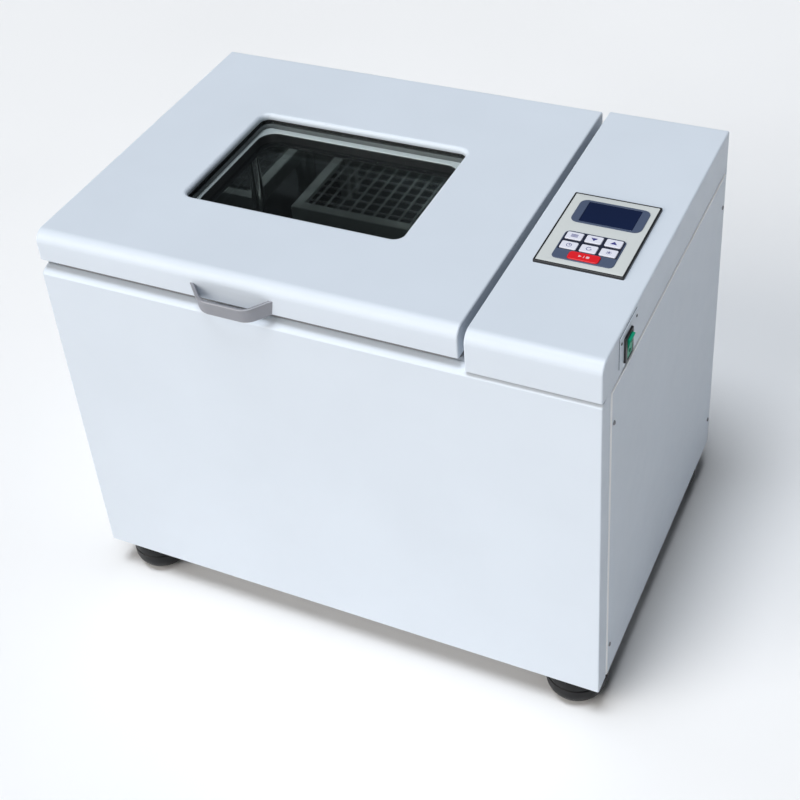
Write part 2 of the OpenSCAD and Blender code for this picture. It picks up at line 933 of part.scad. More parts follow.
module ring(w, d, inner_w, inner_d, z0, z1) {
    difference() {
        translate([0, 0, (z0 + z1) / 2]) cube([w, d, z1 - z0], center = true);
        translate([0, 0, (z0 + z1) / 2]) cube([inner_w, inner_d, z1 - z0 + 2], center = true);
    }
}

module rack_frames() {
    leg_x = rack_w / 2 - rack_wall / 2 - leg_w / 2;
    leg_y = half_rack_d / 2 - rack_wall / 2 - leg_w / 2;
    color(stainless) cabinet() at_racks() union() {
        ring(rack_w, half_rack_d, rack_w - 2 * rack_wall, half_rack_d - 2 * rack_wall,
             rack_top - rack_face, rack_top);
        ring(rack_w, half_rack_d, rack_w - 2 * rail_w, half_rack_d - 2 * rail_w,
             rack_top - rack_wall, rack_top);
        for (sx = [-1, 1], sy = [-1, 1])
            translate([sx * leg_x, sy * leg_y, (plate_z1 + rack_top - 1) / 2])
                cube([leg_w, leg_w, rack_top - 1 - plate_z1], center = true);
    }
}

module rack_springs() {
    along = rack_w - 2 * rack_wall;
    across = half_rack_d - 2 * rack_wall;
    last_x = floor((along / 2 - leg_w - spring_r) / spring_pitch);
    last_y = floor((across / 2 - leg_w - spring_r) / spring_pitch);
    low_z = rack_top - 13;
    high_z = rack_top - 7;
    color(stainless) cabinet() at_racks() {
        for (i = [-last_y : last_y])
            translate([0, i * spring_pitch, low_z]) rotate([0, 90, 0])
                cylinder(h = along, r = spring_r, center = true, $fn = 16);
        for (i = [-last_x : last_x])
            translate([i * spring_pitch, 0, high_z]) rotate([90, 0, 0])
                cylinder(h = across, r = spring_r, center = true, $fn = 16);
    }
}

// ---- Air circulation and heating ----

wheel_r = 48;
coil_r = 58;
tube_r = 3.5;
fan_shaft_r = 4;
cover_w = 200;
cover_h = 136;
cover_depth = 34;
cover_t = 1.2;
fan_motor_x = right_wall + 28;

// Lays its children's Z axis along X, from the fan's middle on the chamber wall
module at_fan(x) {
    cabinet() translate([x, fan_y, fan_z]) rotate([0, 90, 0]) children();
}

module fan_motor() {
    bore = 20;
    color("dimgray") union() {
        at_fan(fan_motor_x) difference() {
            cylinder(h = 54, r = 35);
            translate([0, 0, -1]) cylinder(h = bore + 1, r = fan_shaft_r + run_gap);
        }
        cabinet() span([fan_motor_x + 24, fan_y - 18, pan_top],
                       [fan_motor_x + 34, fan_y + 18, fan_z - 20]);
    }
}

module fan_wheel() {
    blades = 8;
    depth = 18;
    color(stainless) at_fan(right_wall - 26) union() {
        cylinder(h = depth, r = 12);
        cylinder(h = 46 + 26, r = fan_shaft_r);
        translate([0, 0, depth - 1.5]) cylinder(h = 1.5, r = wheel_r);
        for (i = [0 : blades - 1])
            rotate([0, 0, i * 360 / blades]) translate([10, -0.75, 0])
                cube([wheel_r - 10.5, 1.5, depth - 1]);
    }
}

module fan_cover() {
    color(stainless) cabinet() translate([right_wall, fan_y, fan_z]) difference() {
        translate([-cover_depth / 2, 0, 0])
            cube([cover_depth, cover_w, cover_h], center = true);
        translate([-cover_depth / 2 + cover_t, 0, 0])
            cube([cover_depth, cover_w - 2 * cover_t, cover_h - 2 * cover_t],
                 center = true);
        for (ring = [0, 1, 2], i = [0 : max(0, ring * 6 - 1)])
            rotate([i * 60 / max(1, ring), 0, 0]) translate([-cover_depth - 1, 0, ring * 15])
                rotate([0, 90, 0]) cylinder(h = 3, r = 5, $fn = coarse);
        for (z = [-45 : 15 : 45])
            translate([-cover_depth / 2, 0, z])
                cube([cover_depth - 12, cover_w + 2, 7], center = true);
    }
}

module heater_coil() {
    color("dimgray") at_fan(right_wall) union() {
        for (z = [-22, -10])
            translate([0, 0, z]) rotate_extrude($fn = fine)
                translate([coil_r, 0]) circle(tube_r, $fn = coarse);
        for (a = [-12, 12])
            rotate([0, 0, a]) translate([coil_r, 0, -22]) cylinder(h = 22, r = 3);
    }
}

module temperature_probe() {
    color(stainless) cabinet() translate([right_wall, probe_y, probe_z])
        rotate([0, 90, 0]) union() {
            translate([0, 0, -60]) cylinder(h = 85, r = 2.5, $fn = coarse);
            translate([0, 0, -4]) cylinder(h = 4, r = 7, $fn = 32);
        }
}

base_pan();
front_panel();
left_side_panel();
right_side_panel();
back_panel();
panel_screws();
top_deck();
feet();
lid_gasket();
chamber_liner();
insulation();
control_cover();
switch_plate();
switch_housing();
switch_rocker();
control_bezel();
face_plate();
display_frame();
display_lens();
keypad_surround();
menu_key();
down_key();
up_key();
timer_key();
speed_key();
light_key();
start_key();
control_board();
power_board();
power_inlet();
lid_shell();
lid_liner();
window_frame();
window_seal();
window_glass();
handle();
lid_hinge_leaves();
cabinet_hinge_leaves();
hinge_pins();
drive_motor();
motor_pulley();
drive_belt();
main_crank();
crank_bearing();
front_left_crank();
front_right_crank();
rear_left_crank();
rear_right_crank();
support_bearings();
platform();
rack_frames();
rack_springs();
fan_motor();
fan_wheel();
fan_cover();
heater_coil();
temperature_probe();
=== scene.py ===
import math
import random

import bmesh
import bpy
from mathutils import Matrix, Vector


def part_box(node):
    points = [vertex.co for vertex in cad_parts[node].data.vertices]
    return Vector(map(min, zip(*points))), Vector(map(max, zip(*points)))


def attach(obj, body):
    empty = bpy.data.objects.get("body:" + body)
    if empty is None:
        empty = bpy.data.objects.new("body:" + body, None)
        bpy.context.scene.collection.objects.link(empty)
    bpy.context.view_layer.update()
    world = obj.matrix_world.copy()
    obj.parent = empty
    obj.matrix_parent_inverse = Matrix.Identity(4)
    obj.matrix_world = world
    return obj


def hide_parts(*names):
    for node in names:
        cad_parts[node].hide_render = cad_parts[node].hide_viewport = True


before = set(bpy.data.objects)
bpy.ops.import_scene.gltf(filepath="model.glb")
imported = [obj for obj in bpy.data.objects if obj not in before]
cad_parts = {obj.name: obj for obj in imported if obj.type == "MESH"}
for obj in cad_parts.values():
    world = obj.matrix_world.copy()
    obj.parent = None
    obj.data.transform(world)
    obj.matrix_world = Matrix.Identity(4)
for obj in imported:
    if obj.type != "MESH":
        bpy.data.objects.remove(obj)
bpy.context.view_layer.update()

MM = 0.001
CORNERS = [(-1, -1), (-1, 1), (1, -1), (1, 1)]
random.seed(4)

# ---------------------------------------------------------------- helpers


class Box:
    """A CAD node's box at rest, in millimetres."""

    def __init__(self, node):
        low, high = (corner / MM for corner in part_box(node))
        self.x0, self.y0, self.z0 = low
        self.x1, self.y1, self.z1 = high
        self.mid = (low + high) / 2
        self.w, self.d, self.h = high - low


def place(origin, u=(1, 0, 0), v=(0, 1, 0), w=(0, 0, 1)):
    """A function from a local point (a, b, c) to the shared frame, in millimetres."""
    o, u, v, w = (Vector(x) for x in (origin, u, v, w))
    return lambda a, b, c=0: o + u * a + v * b + w * c


FACING_RIGHT = {"u": (0, 1, 0), "v": (0, 0, 1), "w": (1, 0, 0)}
FACING_LEFT = {"u": (0, -1, 0), "v": (0, 0, 1), "w": (-1, 0, 0)}
FACING_BACK = {"u": (-1, 0, 0), "v": (0, 0, 1), "w": (0, 1, 0)}
FACING_DOWN = {"u": (1, 0, 0), "v": (0, -1, 0), "w": (0, 0, -1)}


def arc(cx, cy, r, start, end, steps):
    """Points on an arc between two angles, in degrees."""
    angles = [math.radians(start + (end - start) * i / steps) for i in range(steps + 1)]
    return [(cx + r * math.cos(a), cy + r * math.sin(a)) for a in angles]


def quarter(steps):
    """Angles from 0 to 90 degrees, in radians."""
    return [math.radians(90 * i / steps) for i in range(steps + 1)]


def rounded(w, d, r, steps=4):
    """A w by d rectangle with corners of radius r, counter-clockwise from the right."""
    r = min(max(r, 0.02), w / 2, d / 2)
    x, y = w / 2 - r, d / 2 - r
    corners = ((x, y), (-x, y), (-x, -y), (x, -y))
    return [p for k, (cx, cy) in enumerate(corners)
            for p in arc(cx, cy, r, 90 * k, 90 * k + 90, steps)]


def filleted(corners, radius, steps=6):
    """An open line through corners, each inner corner rounded to the radius."""
    points = [Vector(c) for c in corners]
    line = [points[0]]
    for before, here, after in zip(points, points[1:], points[2:]):
        back, on = (before - here).normalized(), (after - here).normalized()
        half = back.angle(on) / 2
        centre = here + (back + on).normalized() * radius / math.sin(half)
        first = here + back * radius / math.tan(half) - centre
        last = here + on * radius / math.tan(half) - centre
        sweep = first.angle(last)
        for i in range(steps + 1):
            t = i / steps
            a = math.sin((1 - t) * sweep) / math.sin(sweep)
            b = math.sin(t * sweep) / math.sin(sweep)
            line.append(centre + first * a + last * b)
    return [tuple(p) for p in line + [points[-1]]]


def soft_edge(edge, height, steps=3):
    """How far a rounded edge stands in, and at what height, going up to its top."""
    return [(edge * (1 - math.cos(a)), height - edge * (1 - math.sin(a)))
            for a in quarter(steps)]


def eased(w, d, r, edge, height, corner_ease=0.5):
    """The levels of a plate's rounded top edge, as (width, depth, corner radius, height)."""
    return [(w - 2 * i, d - 2 * i, r - i * corner_ease, h) for i, h in soft_edge(edge, height)]


def moved(outline, dx, dy):
    return [(x + dx, y + dy) for x, y in outline]


def circle(r, sides):
    return arc(0, 0, r, 0, 360 - 360 / sides, sides - 1)


def lay(at, outline, h=0.0):
    """An outline set down in a place, at a height."""
    return [at(x, y, h) for x, y in outline]


class Maker:
    """Collects the mesh of one piece, in millimetres."""

    def __init__(self):
        self.bm = bmesh.new()
        self.paint = 0

    def points(self, coords):
        return [self.bm.verts.new(c) for c in coords]

    def face(self, verts):
        self.bm.faces.new(verts).material_index = self.paint

    def skin(self, rings, closed=True, fill=(True, True), loop=False):
        """Joins rings of points side by side, and fills the first and last."""
        rows = [self.points(ring) for ring in rings]
        pairs = list(zip(rows, rows[1:])) + ([(rows[-1], rows[0])] if loop else [])
        count = len(rows[0])
        for a, b in pairs:
            for i in range(count if closed else count - 1):
                j = (i + 1) % count
                self.face((a[i], a[j], b[j], b[i]))
        if fill[0] and not loop:
            self.face(rows[0][::-1])
        if fill[1] and not loop:
            self.face(rows[-1])
        return rows

    def band(self, rings, closed=True):
        """A skin left open at both ends."""
        self.skin(rings, closed, (False, False))

    def plate(self, at, levels, steps=4, loop=False, fill=(True, True)):
        """A stack of rounded rectangles, each as (width, depth, corner radius, height)."""
        self.skin([lay(at, rounded(w, d, r, steps), h) for w, d, r, h in levels], loop=loop,
                  fill=fill)

    def slab(self, at, w, d, r, low, high, edge, steps=4):
        """A plate whose top and bottom edges are rounded."""
        top = soft_edge(edge, high)
        levels = [(i, low + high - h) for i, h in reversed(top)] + top
        self.plate(at, [(w - 2 * i, d - 2 * i, r - i, h) for i, h in levels], steps)

    def frame(self, at, outer, inner, low, high, edge, steps):
        """A flat ring between two outlines, each as (width, depth, corner radius)."""
        top = soft_edge(edge, high, 2)
        side = [(i, low + high - h) for i, h in reversed(top)] + top
        levels = [(outer[0] - 2 * i, outer[1] - 2 * i, outer[2] - i, h) for i, h in side]
        levels += [(inner[0] + 2 * i, inner[1] + 2 * i, inner[2] + i, h)
                   for i, h in reversed(side)]
        self.plate(at, levels, steps, loop=True)

    def lathe(self, at, profile, sides, loop=False):
        """A turned shape from a profile of (radius, height) points."""
        self.skin([lay(at, circle(r, sides), h) for r, h in profile], loop=loop)

    def round_off(self, edges, width):
        bmesh.ops.bevel(self.bm, geom=list(edges), offset=width, segments=2, profile=0.5,
                        affect="EDGES", material=-1)

    def block(self, low, high, edge):
        """A box with rounded edges."""
        low, high = Vector(low), Vector(high)
        matrix = Matrix.LocRotScale((low + high) / 2, None, high - low)
        made = bmesh.ops.create_cube(self.bm, size=1, matrix=matrix)["verts"]
        for f in {f for v in made for f in v.link_faces}:
            f.material_index = self.paint
        self.round_off({e for v in made for e in v.link_edges}, edge)

    def prism(self, at, outline, low, high, edge=0.0):
        """An outline pushed from one height to another."""
        rows = self.skin([lay(at, outline, h) for h in (low, high)])
        if edge:
            self.round_off({e for row in rows for v in row for e in v.link_edges
                            if all(end in row for end in e.verts)}, edge)

    def swept(self, at, line, section):
        """A section of (across, up) points carried along a flat line."""
        rings = []
        for i, (x, y) in enumerate(line):
            before, after = line[max(i - 1, 0)], line[min(i + 1, len(line) - 1)]
            dx, dy = after[0] - before[0], after[1] - before[1]
            size = math.hypot(dx, dy)
            rings.append([at(x - dy / size * s, y + dx / size * s, t) for s, t in section])
        self.skin(rings)

    def tube(self, path, radius, sides):
        """A round bar along a path in space."""
        path = [Vector(p) for p in path]
        side = (path[1] - path[0]).orthogonal().normalized()
        rings = []
        for i, point in enumerate(path):
            ahead = (path[min(i + 1, len(path) - 1)] - path[max(i - 1, 0)]).normalized()
            side = (side - ahead * side.dot(ahead)).normalized()
            other = ahead.cross(side)
            turns = [2 * math.pi * k / sides for k in range(sides)]
            rings.append([point + (side * math.cos(a) + other * math.sin(a)) * radius
                          for a in turns])
        self.skin(rings)

    def flat(self, at, loops, height=0.0):
        """A flat face with the first loop as its edge and the others as holes."""
        edges = []
        for loop in loops:
            verts = self.points(lay(at, loop, height))
            edges += [self.bm.edges.new((a, b)) for a, b in zip(verts, verts[1:] + verts[:1])]
        made = bmesh.ops.triangle_fill(self.bm, use_beauty=True, edges=edges)["geom"]
        for f in made:
            if isinstance(f, bmesh.types.BMFace):
                f.material_index = self.paint


def screw(m, at, r, rise, turn):
    """A round-headed screw with a cross recess, standing on its place."""
    arm, half = 0.55 * r, 0.13 * r
    tip = math.degrees(math.atan(half / arm))
    spokes = []
    for a in (0, tip, (45 + tip) / 2, 45, (135 - tip) / 2, 90 - tip):
        off = math.radians((a + 45) % 90 - 45)
        spokes.append((a, min(arm / math.cos(off), half / max(abs(math.sin(off)), 1e-6))))

    def ring(h, radius=None):
        turns = [(math.radians(90 * q + a + turn), radius or cross)
                 for q in range(4) for a, cross in spokes]
        return [at(size * math.cos(a), size * math.sin(a), h) for a, size in turns]

    dome = [(0, r), (0.4, r), (0.7, r * 0.92), (0.93, r * 0.75), (1, r * 0.65)]
    m.skin([ring(rise * up, radius) for up, radius in dome] + [ring(rise), ring(rise * 0.35)])


def piece(name, m, body, materials, replaces, smooth=35, shell=0.0):
    """Turns a Maker into a Blender object in metres that rides on a body."""
    bm = m.bm
    bmesh.ops.remove_doubles(bm, verts=bm.verts, dist=0.002)
    bmesh.ops.dissolve_degenerate(bm, dist=0.001, edges=bm.edges)
    bmesh.ops.recalc_face_normals(bm, faces=bm.faces)
    bmesh.ops.scale(bm, vec=(MM, MM, MM), verts=bm.verts)
    data = bpy.data.meshes.new(name)
    bm.to_mesh(data)
    bm.free()
    data.shade_smooth()
    data.set_sharp_from_angle(angle=math.radians(smooth))
    made = bpy.data.objects.new(name, data)
    bpy.context.scene.collection.objects.link(made)
    for material in materials if isinstance(materials, (list, tuple)) else [materials]:
        data.materials.append(material)
    if shell:
        thick = made.modifiers.new("sheet thickness", "SOLIDIFY")
        thick.thickness, thick.offset = shell * MM, -1
        thick.use_even_offset = True
    if smooth < 180:
        made.modifiers.new("even shading", "WEIGHTED_NORMAL").keep_sharp = True
    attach(made, body)
    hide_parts(*replaces)


def soften(made, width):
    edges = made.modifiers.new("broken edges", "BEVEL")
    edges.width, edges.segments = width * MM, 2
    edges.limit_method, edges.angle_limit = "ANGLE", math.radians(40)
    edges.harden_normals = False


# -------------------------------------------------------------- materials


class Finish:
    """A node material under construction. Feature sizes are in millimetres."""

    def __init__(self, name, **shader):
        self.material = bpy.data.materials.new(name)
        self.material.use_nodes = True
        self.tree = self.material.node_tree
        self.shader = self.tree.nodes["Principled BSDF"]
        for socket, value in shader.items():
            self.shader.inputs[socket.replace("_", " ")].default_value = value
        self.coords = self.add("TexCoord").outputs["Object"]

    def add(self, kind, inputs=None, **settings):
        made = self.tree.nodes.new("ShaderNode" + kind)
        for name, value in settings.items():
            setattr(made, name, value)
        for name, value in (inputs or {}).items():
            if isinstance(value, bpy.types.NodeSocket):
                self.tree.links.new(value, made.inputs[name])
            else:
                made.inputs[name].default_value = value
        return made

    def stretched(self, along):
        """The coordinates with one axis drawn out, for grain that runs along it."""
        scale = [0.04 if axis == along else 1.0 for axis in "xyz"]
        return self.add("Mapping", {"Vector": self.coords, "Scale": scale}).outputs[0]

    def noise(self, size, detail, vector=None, distortion=0.0):
        return self.add("TexNoise", {"Vector": vector or self.coords, "Scale": 1 / (size * MM),
                                     "Detail": detail, "Distortion": distortion}).outputs["Fac"]

    def cells(self, size, output="Distance"):
        return self.add("TexVoronoi", {"Vector": self.coords,
                                       "Scale": 1 / (size * MM)}).outputs[output]

    def colour(self, mask, stops):
        """Base colour from a mask; stops are (position, colour) pairs."""
        ramp = self.add("ValToRGB", {"Fac": mask})
        elements = ramp.color_ramp.elements
        while len(elements) < len(stops):
            elements.new(0.5)
        for element, (position, shade) in zip(elements, stops):
            element.position, element.color = position, (*shade, 1)
        self.tree.links.new(ramp.outputs["Color"], self.shader.inputs["Base Color"])

    def rough(self, mask, low, high):
        spread = self.add("MapRange", {"Value": mask, "From Min": 0.3, "From Max": 0.7,
                                       "To Min": low, "To Max": high})
        self.tree.links.new(spread.outputs[0], self.shader.inputs["Roughness"])

    def bump(self, height, depth):
        """Relief of a depth in millimetres, on top of any relief already there."""
        inputs = {"Height": height, "Distance": depth * MM, "Strength": 1.0}
        normal = self.shader.inputs["Normal"]
        if normal.is_linked:
            inputs["Normal"] = normal.links[0].from_socket
        self.tree.links.new(self.add("Bump", inputs).outputs[0], normal)

    def mix(self, a, b, mask):
        """A blend of two masks by a third."""
        made = self.add("Mix")
        for socket, value in zip(("Factor", "A", "B"), (mask, a, b)):
            self.tree.links.new(value, made.inputs[socket])
        return made.outputs[0]


def near(shade, step):
    """A colour a little lighter or darker than another."""
    return tuple(min(1.0, max(0.0, c * (1 + step))) for c in shade)


def coated(name, shade, rough, peel, depth, tone=0.015, **shader):
    """Powder coat or moulded plastic: a faint tone drift and an orange-peel skin."""
    f = Finish(name, **shader)
    f.colour(f.noise(140, 2), [(0.3, near(shade, -tone)), (0.7, near(shade, tone))])
    f.rough(f.noise(25, 4), *rough)
    f.bump(f.noise(peel, 2), depth)
    return f.material


def metal(name, shade, rough, grain, size, depth, tone=0.06):
    """Bare metal with a drawn grain along one axis, or none in particular."""
    f = Finish(name, Metallic=1.0)
    streaks = f.noise(size, 5, f.stretched(grain) if grain else None)
    f.colour(f.noise(60, 3), [(0.3, near(shade, -tone)), (0.7, near(shade, tone))])
    f.rough(streaks, *rough)
    f.bump(streaks, depth)
    return f.material


def plated(name, shade, rough):
    """Zinc plate: faint spangles and a dull bloom."""
    f = Finish(name, Metallic=1.0)
    spangle = f.cells(6, "Color")
    bright = f.add("RGBToBW", {"Color": spangle}).outputs[0]
    f.colour(f.mix(bright, f.noise(50, 4), f.noise(9, 1)),
             [(0.25, near(shade, -0.1)), (0.75, near(shade, 0.06))])
    f.rough(f.noise(14, 4), *rough)
    f.bump(f.noise(0.8, 2), 0.01)
    return f.material


def rubbery(name, shade, rough, grain=0.9, depth=0.05):
    """Black rubber: a fine skin, with paler scuffs and dust in patches."""
    f = Finish(name, Specular_IOR_Level=0.22)
    dust = f.mix(f.noise(6, 5), f.noise(45, 3), f.noise(20, 1))
    f.colour(dust, [(0.45, shade), (0.68, near(shade, 0.3)), (0.85, near(shade, 0.8))])
    f.rough(f.noise(12, 4), *rough)
    f.bump(f.noise(grain, 2), depth)
    return f.material


def clear_glass(name, tint):
    """Toughened glass: tinted when looked through, with a mirror's share by angle."""
    f = Finish(name)
    tree = f.tree
    through = f.add("BsdfTransparent", {"Color": (*tint, 1)})
    mirror = f.add("BsdfGlossy", {"Color": (0.9, 0.95, 0.95, 1)})
    spread = f.add("MapRange", {"Value": f.noise(30, 3), "To Min": 0.01, "To Max": 0.05})
    tree.links.new(spread.outputs[0], mirror.inputs["Roughness"])
    slant = f.add("LayerWeight", {"Blend": 0.1})
    share = f.add("MapRange", {"Value": slant.outputs["Facing"], "To Min": 0.004, "To Max": 0.2})
    blend = f.add("MixShader", {0: share.outputs[0], 1: through.outputs[0],
                                2: mirror.outputs[0]})
    tree.links.new(blend.outputs[0], tree.nodes["Material Output"].inputs["Surface"])
    tree.nodes.remove(f.shader)
    return f.material


def wool(name):
    """Yellow glass wool in tangled strands."""
    f = Finish(name, Roughness=0.95, Sheen_Weight=0.4)
    strands = f.noise(3, 6, f.stretched("x"), 1.5)
    f.colour(strands, [(0.3, (0.45, 0.36, 0.14)), (0.7, (0.85, 0.76, 0.42))])
    f.bump(strands, 1.2)
    f.bump(f.noise(14, 4), 2.0)
    return f.material


def circuit(name):
    """Solder mask over copper lands and tracks."""
    f = Finish(name, Coat_Weight=0.3)
    lands = f.cells(5)
    tracks = f.add("TexBrick", {"Vector": f.coords, "Scale": 60.0, "Mortar Size": 0.03})
    f.colour(f.mix(lands, tracks.outputs["Fac"], f.noise(25, 1)),
             [(0.1, (0.35, 0.30, 0.16)), (0.16, (0.01, 0.11, 0.05)), (0.9, (0.02, 0.2, 0.09))])
    f.rough(f.noise(8, 3), 0.25, 0.4)
    f.bump(tracks.outputs["Fac"], 0.05)
    return f.material


WHITE = (0.645, 0.705, 0.78)
paint = coated("white_powder_coat", WHITE, (0.4, 0.5), 2.2, 0.02, Coat_Weight=0.06,
               Coat_Roughness=0.3, Specular_IOR_Level=0.4)
# Paler than the white paint: a painted highlight for the side plates' rolled edges.
edge_highlight_paint = coated("painted_highlight_plate_edge", (0.92, 0.925, 0.93), (0.35, 0.45), 1.2, 0.01)
mirror_steel = metal("polished_liner_steel", (0.55, 0.57, 0.58), (0.03, 0.07), "z", 1.4, 0.001)
satin_steel = metal("satin_stainless", (0.62, 0.64, 0.64), (0.24, 0.38), "x", 0.9, 0.01)
wire = metal("bright_spring_wire", (0.66, 0.68, 0.68), (0.3, 0.42), None, 2.0, 0.005)
trim = coated("pale_trim", (0.72, 0.75, 0.78), (0.3, 0.42), 0.8, 0.01, Metallic=0.2)
zinc = plated("zinc_plate", (0.5, 0.52, 0.54), (0.32, 0.5))
machined = metal("machined_aluminium", (0.58, 0.6, 0.62), (0.25, 0.42), "z", 0.7, 0.01)
dark_plate = metal("dark_anodised_platform", (0.10, 0.105, 0.11), (0.42, 0.55), "x", 0.8, 0.012)
rack_steel = coated("blasted_rack_steel", (0.42, 0.45, 0.44), (0.42, 0.56), 0.6, 0.02, 0.05,
                    Metallic=0.35)
dark_steel = metal("blackened_screw_steel", (0.3, 0.3, 0.32), (0.3, 0.45), None, 1.5, 0.01)
heated = metal("heat_tinted_tube", (0.34, 0.29, 0.25), (0.3, 0.5), None, 6, 0.02, 0.35)
handle_metal = coated("satin_handle", (0.30, 0.305, 0.335), (0.4, 0.5), 0.7, 0.012, 0.03,
                      Metallic=0.4)
rubber = rubbery("black_rubber", (0.005, 0.005, 0.006), (0.36, 0.5))
belt = rubbery("belt_rubber", (0.02, 0.02, 0.02), (0.55, 0.75), 0.6, 0.06)
grey_rubber = coated("grey_silicone", (0.24, 0.245, 0.26), (0.5, 0.62), 0.9, 0.03)
black = coated("black_moulding", (0.012, 0.012, 0.014), (0.3, 0.42), 0.5, 0.03, 0.2)
# A dark copy of the window trim: painted shade for the frame's walls.
wall_shade_paint = coated("painted_shade_wall_trim", (0.13, 0.14, 0.145), (0.35, 0.5), 0.8, 0.02, 0.05)
film = coated("panel_film", (0.62, 0.65, 0.645), (0.35, 0.48), 0.35, 0.01, 0.04)
slate = coated("slate_film", (0.075, 0.10, 0.165), (0.3, 0.42), 0.4, 0.01, 0.08)
ink = coated("dark_ink", (0.012, 0.016, 0.035), (0.35, 0.5), 0.4, 0.01, 0.15)
navy = coated("display_glass", (0.004, 0.012, 0.05), (0.08, 0.16), 8, 0.005, 0.15,
              Coat_Weight=0.3, Coat_Roughness=0.05)
key_skin = coated("key_skin", (0.74, 0.75, 0.84), (0.38, 0.5), 0.4, 0.012, 0.02)
key_red = coated("red_key_skin", (0.70, 0.012, 0.02), (0.32, 0.45), 0.4, 0.012, 0.1)
mark = coated("blue_ink", (0.05, 0.05, 0.22), (0.4, 0.5), 0.3, 0.008, 0.1)
pale_mark = coated("white_ink", (0.75, 0.55, 0.6), (0.4, 0.5), 0.3, 0.008, 0.03)
green = coated("rocker_green", (0.008, 0.34, 0.19), (0.34, 0.44), 3, 0.01, 0.15,
               Specular_IOR_Level=0.2)
green_mark = coated("rocker_mark", (0.005, 0.12, 0.07), (0.3, 0.4), 0.6, 0.01, 0.1)
motor_paint = coated("motor_enamel", (0.03, 0.035, 0.045), (0.35, 0.5), 1.0, 0.04, 0.15)
glass = clear_glass("window_glass", (0.905, 0.925, 0.92))
glass_wool = wool("glass_wool")
board = circuit("circuit_board")

# --------------------------------------------------------- pressed shells


SHEET = 1.5
ROLL = 15
RIM = 5.0
SEAL_MARGIN = 6
OPENING_R = 12
LIGHT_R = 22
lid = Box("lid_shell")
seal = Box("window_seal")
head = Box("control_cover")
bezel = Box("control_bezel")
opening_w, opening_d = seal.w - 2 * SEAL_MARGIN, seal.d - 2 * SEAL_MARGIN
light_w, light_d = opening_w - 9, opening_d - 17
pane_frame = Box("window_frame")
at_window = place((pane_frame.mid.x, pane_frame.mid.y, 0))


def pressed_cover(box, hole, rim, drop):
    """A folded cover, open below, rolled along the front, with one opening in its top.

    The opening is (x, y, width, depth, corner radius); its edge turns down by a radius
    of rim and then drops straight."""
    back, end, corner_steps = 3.5, 2.2, 8
    hx, hy, hw, hd, hr = hole
    x0, x1 = box.x0 + end, box.x1 - end
    y0, y1 = box.y0 + ROLL, box.y1 - back
    top = box.z1

    def mouth(grow):
        return moved(rounded(hw + 2 * grow, hd + 2 * grow, hr + grow, corner_steps), hx, hy)

    edge = []
    for n, (x, y) in enumerate(mouth(rim)):
        corner, i = divmod(n, corner_steps + 1)
        facing = (corner + (i > corner_steps // 2)) % 4
        if i == corner_steps // 2:
            x, y = (x1 if corner in (0, 3) else x0), (y1 if corner in (0, 1) else y0)
        elif facing in (0, 2):
            x = x1 if facing == 0 else x0
        else:
            y = y1 if facing == 1 else y0
        edge.append((x, y))
    stations_x = sorted({x for x, y in edge})
    stations_y = sorted({y for x, y in edge})

    def profile(inset):
        front = [(box.y0 + inset, box.z0)] + arc(y0, top - ROLL, ROLL - inset, 180, 90, 10)
        rear = arc(y1, top - back, back - inset, 90, 0, 4) + [(box.y1 - inset, box.z0)]
        return front, [(y, top - inset) for y in stations_y[1:-1]], rear

    m = Maker()
    for side, turn in ((box.x0, 1), (box.x1, -1)):
        m.skin([[(side + turn * end * (1 - math.cos(a)), y, z)
                 for part in profile(end * (1 - math.sin(a))) for y, z in part]
                for a in quarter(4)], closed=False, fill=(True, False))
    front, _, rear = profile(0)
    for strip in (front, rear):
        m.band([[(x, y, z) for y, z in strip] for x in stations_x], closed=False)
    rings = [[(x, y, top) for x, y in edge]]
    rings += [[(x, y, z) for x, y in mouth(g)] for g, z in soft_edge(rim, top, 5)[::-1]]
    rings.append([(x, y, top - rim - drop) for x, y in mouth(0)])
    m.band(rings)
    return m


def lid_skin():
    m = pressed_cover(lid, (seal.mid.x, seal.mid.y, opening_w, opening_d, OPENING_R), RIM,
                      lid.z1 - seal.z1 - RIM)
    piece("lid_pressing", m, "lid", paint, ["lid_shell"], shell=SHEET)


def head_skin():
    m = pressed_cover(head, (bezel.mid.x, bezel.mid.y, bezel.w - 8, bezel.d - 8, 2), 0.8, 0.3)
    piece("head_pressing", m, "cabinet", paint, ["control_cover"], shell=SHEET)


def front_skin():
    """The front sheet, whose top edge rolls back to a ledge below the lid."""
    box, corner = Box("front_panel"), 1.8
    roll, fall, ledge, slope = 13, 8, 15.5, 0.5
    levels = [(0, box.z0), (0, box.z1 - fall)]
    levels += [(roll * (1 - math.cos(a)),
                box.z1 - fall * ((1 - slope) * (1 - math.sin(a)) + slope * math.cos(a)))
               for a in quarter(10)[1:]]
    levels.append((ledge, box.z1))
    rings = []
    for back, z in levels:
        y = box.y0 + back
        path = filleted([(box.x0, box.y1), (box.x0, y), (box.x1, y), (box.x1, box.y1)], corner)
        rings.append([(px, py, z) for px, py in path])
    m = Maker()
    m.band(rings, closed=False)
    piece("front_pressing", m, "cabinet", paint, ["front_panel"], shell=SHEET)


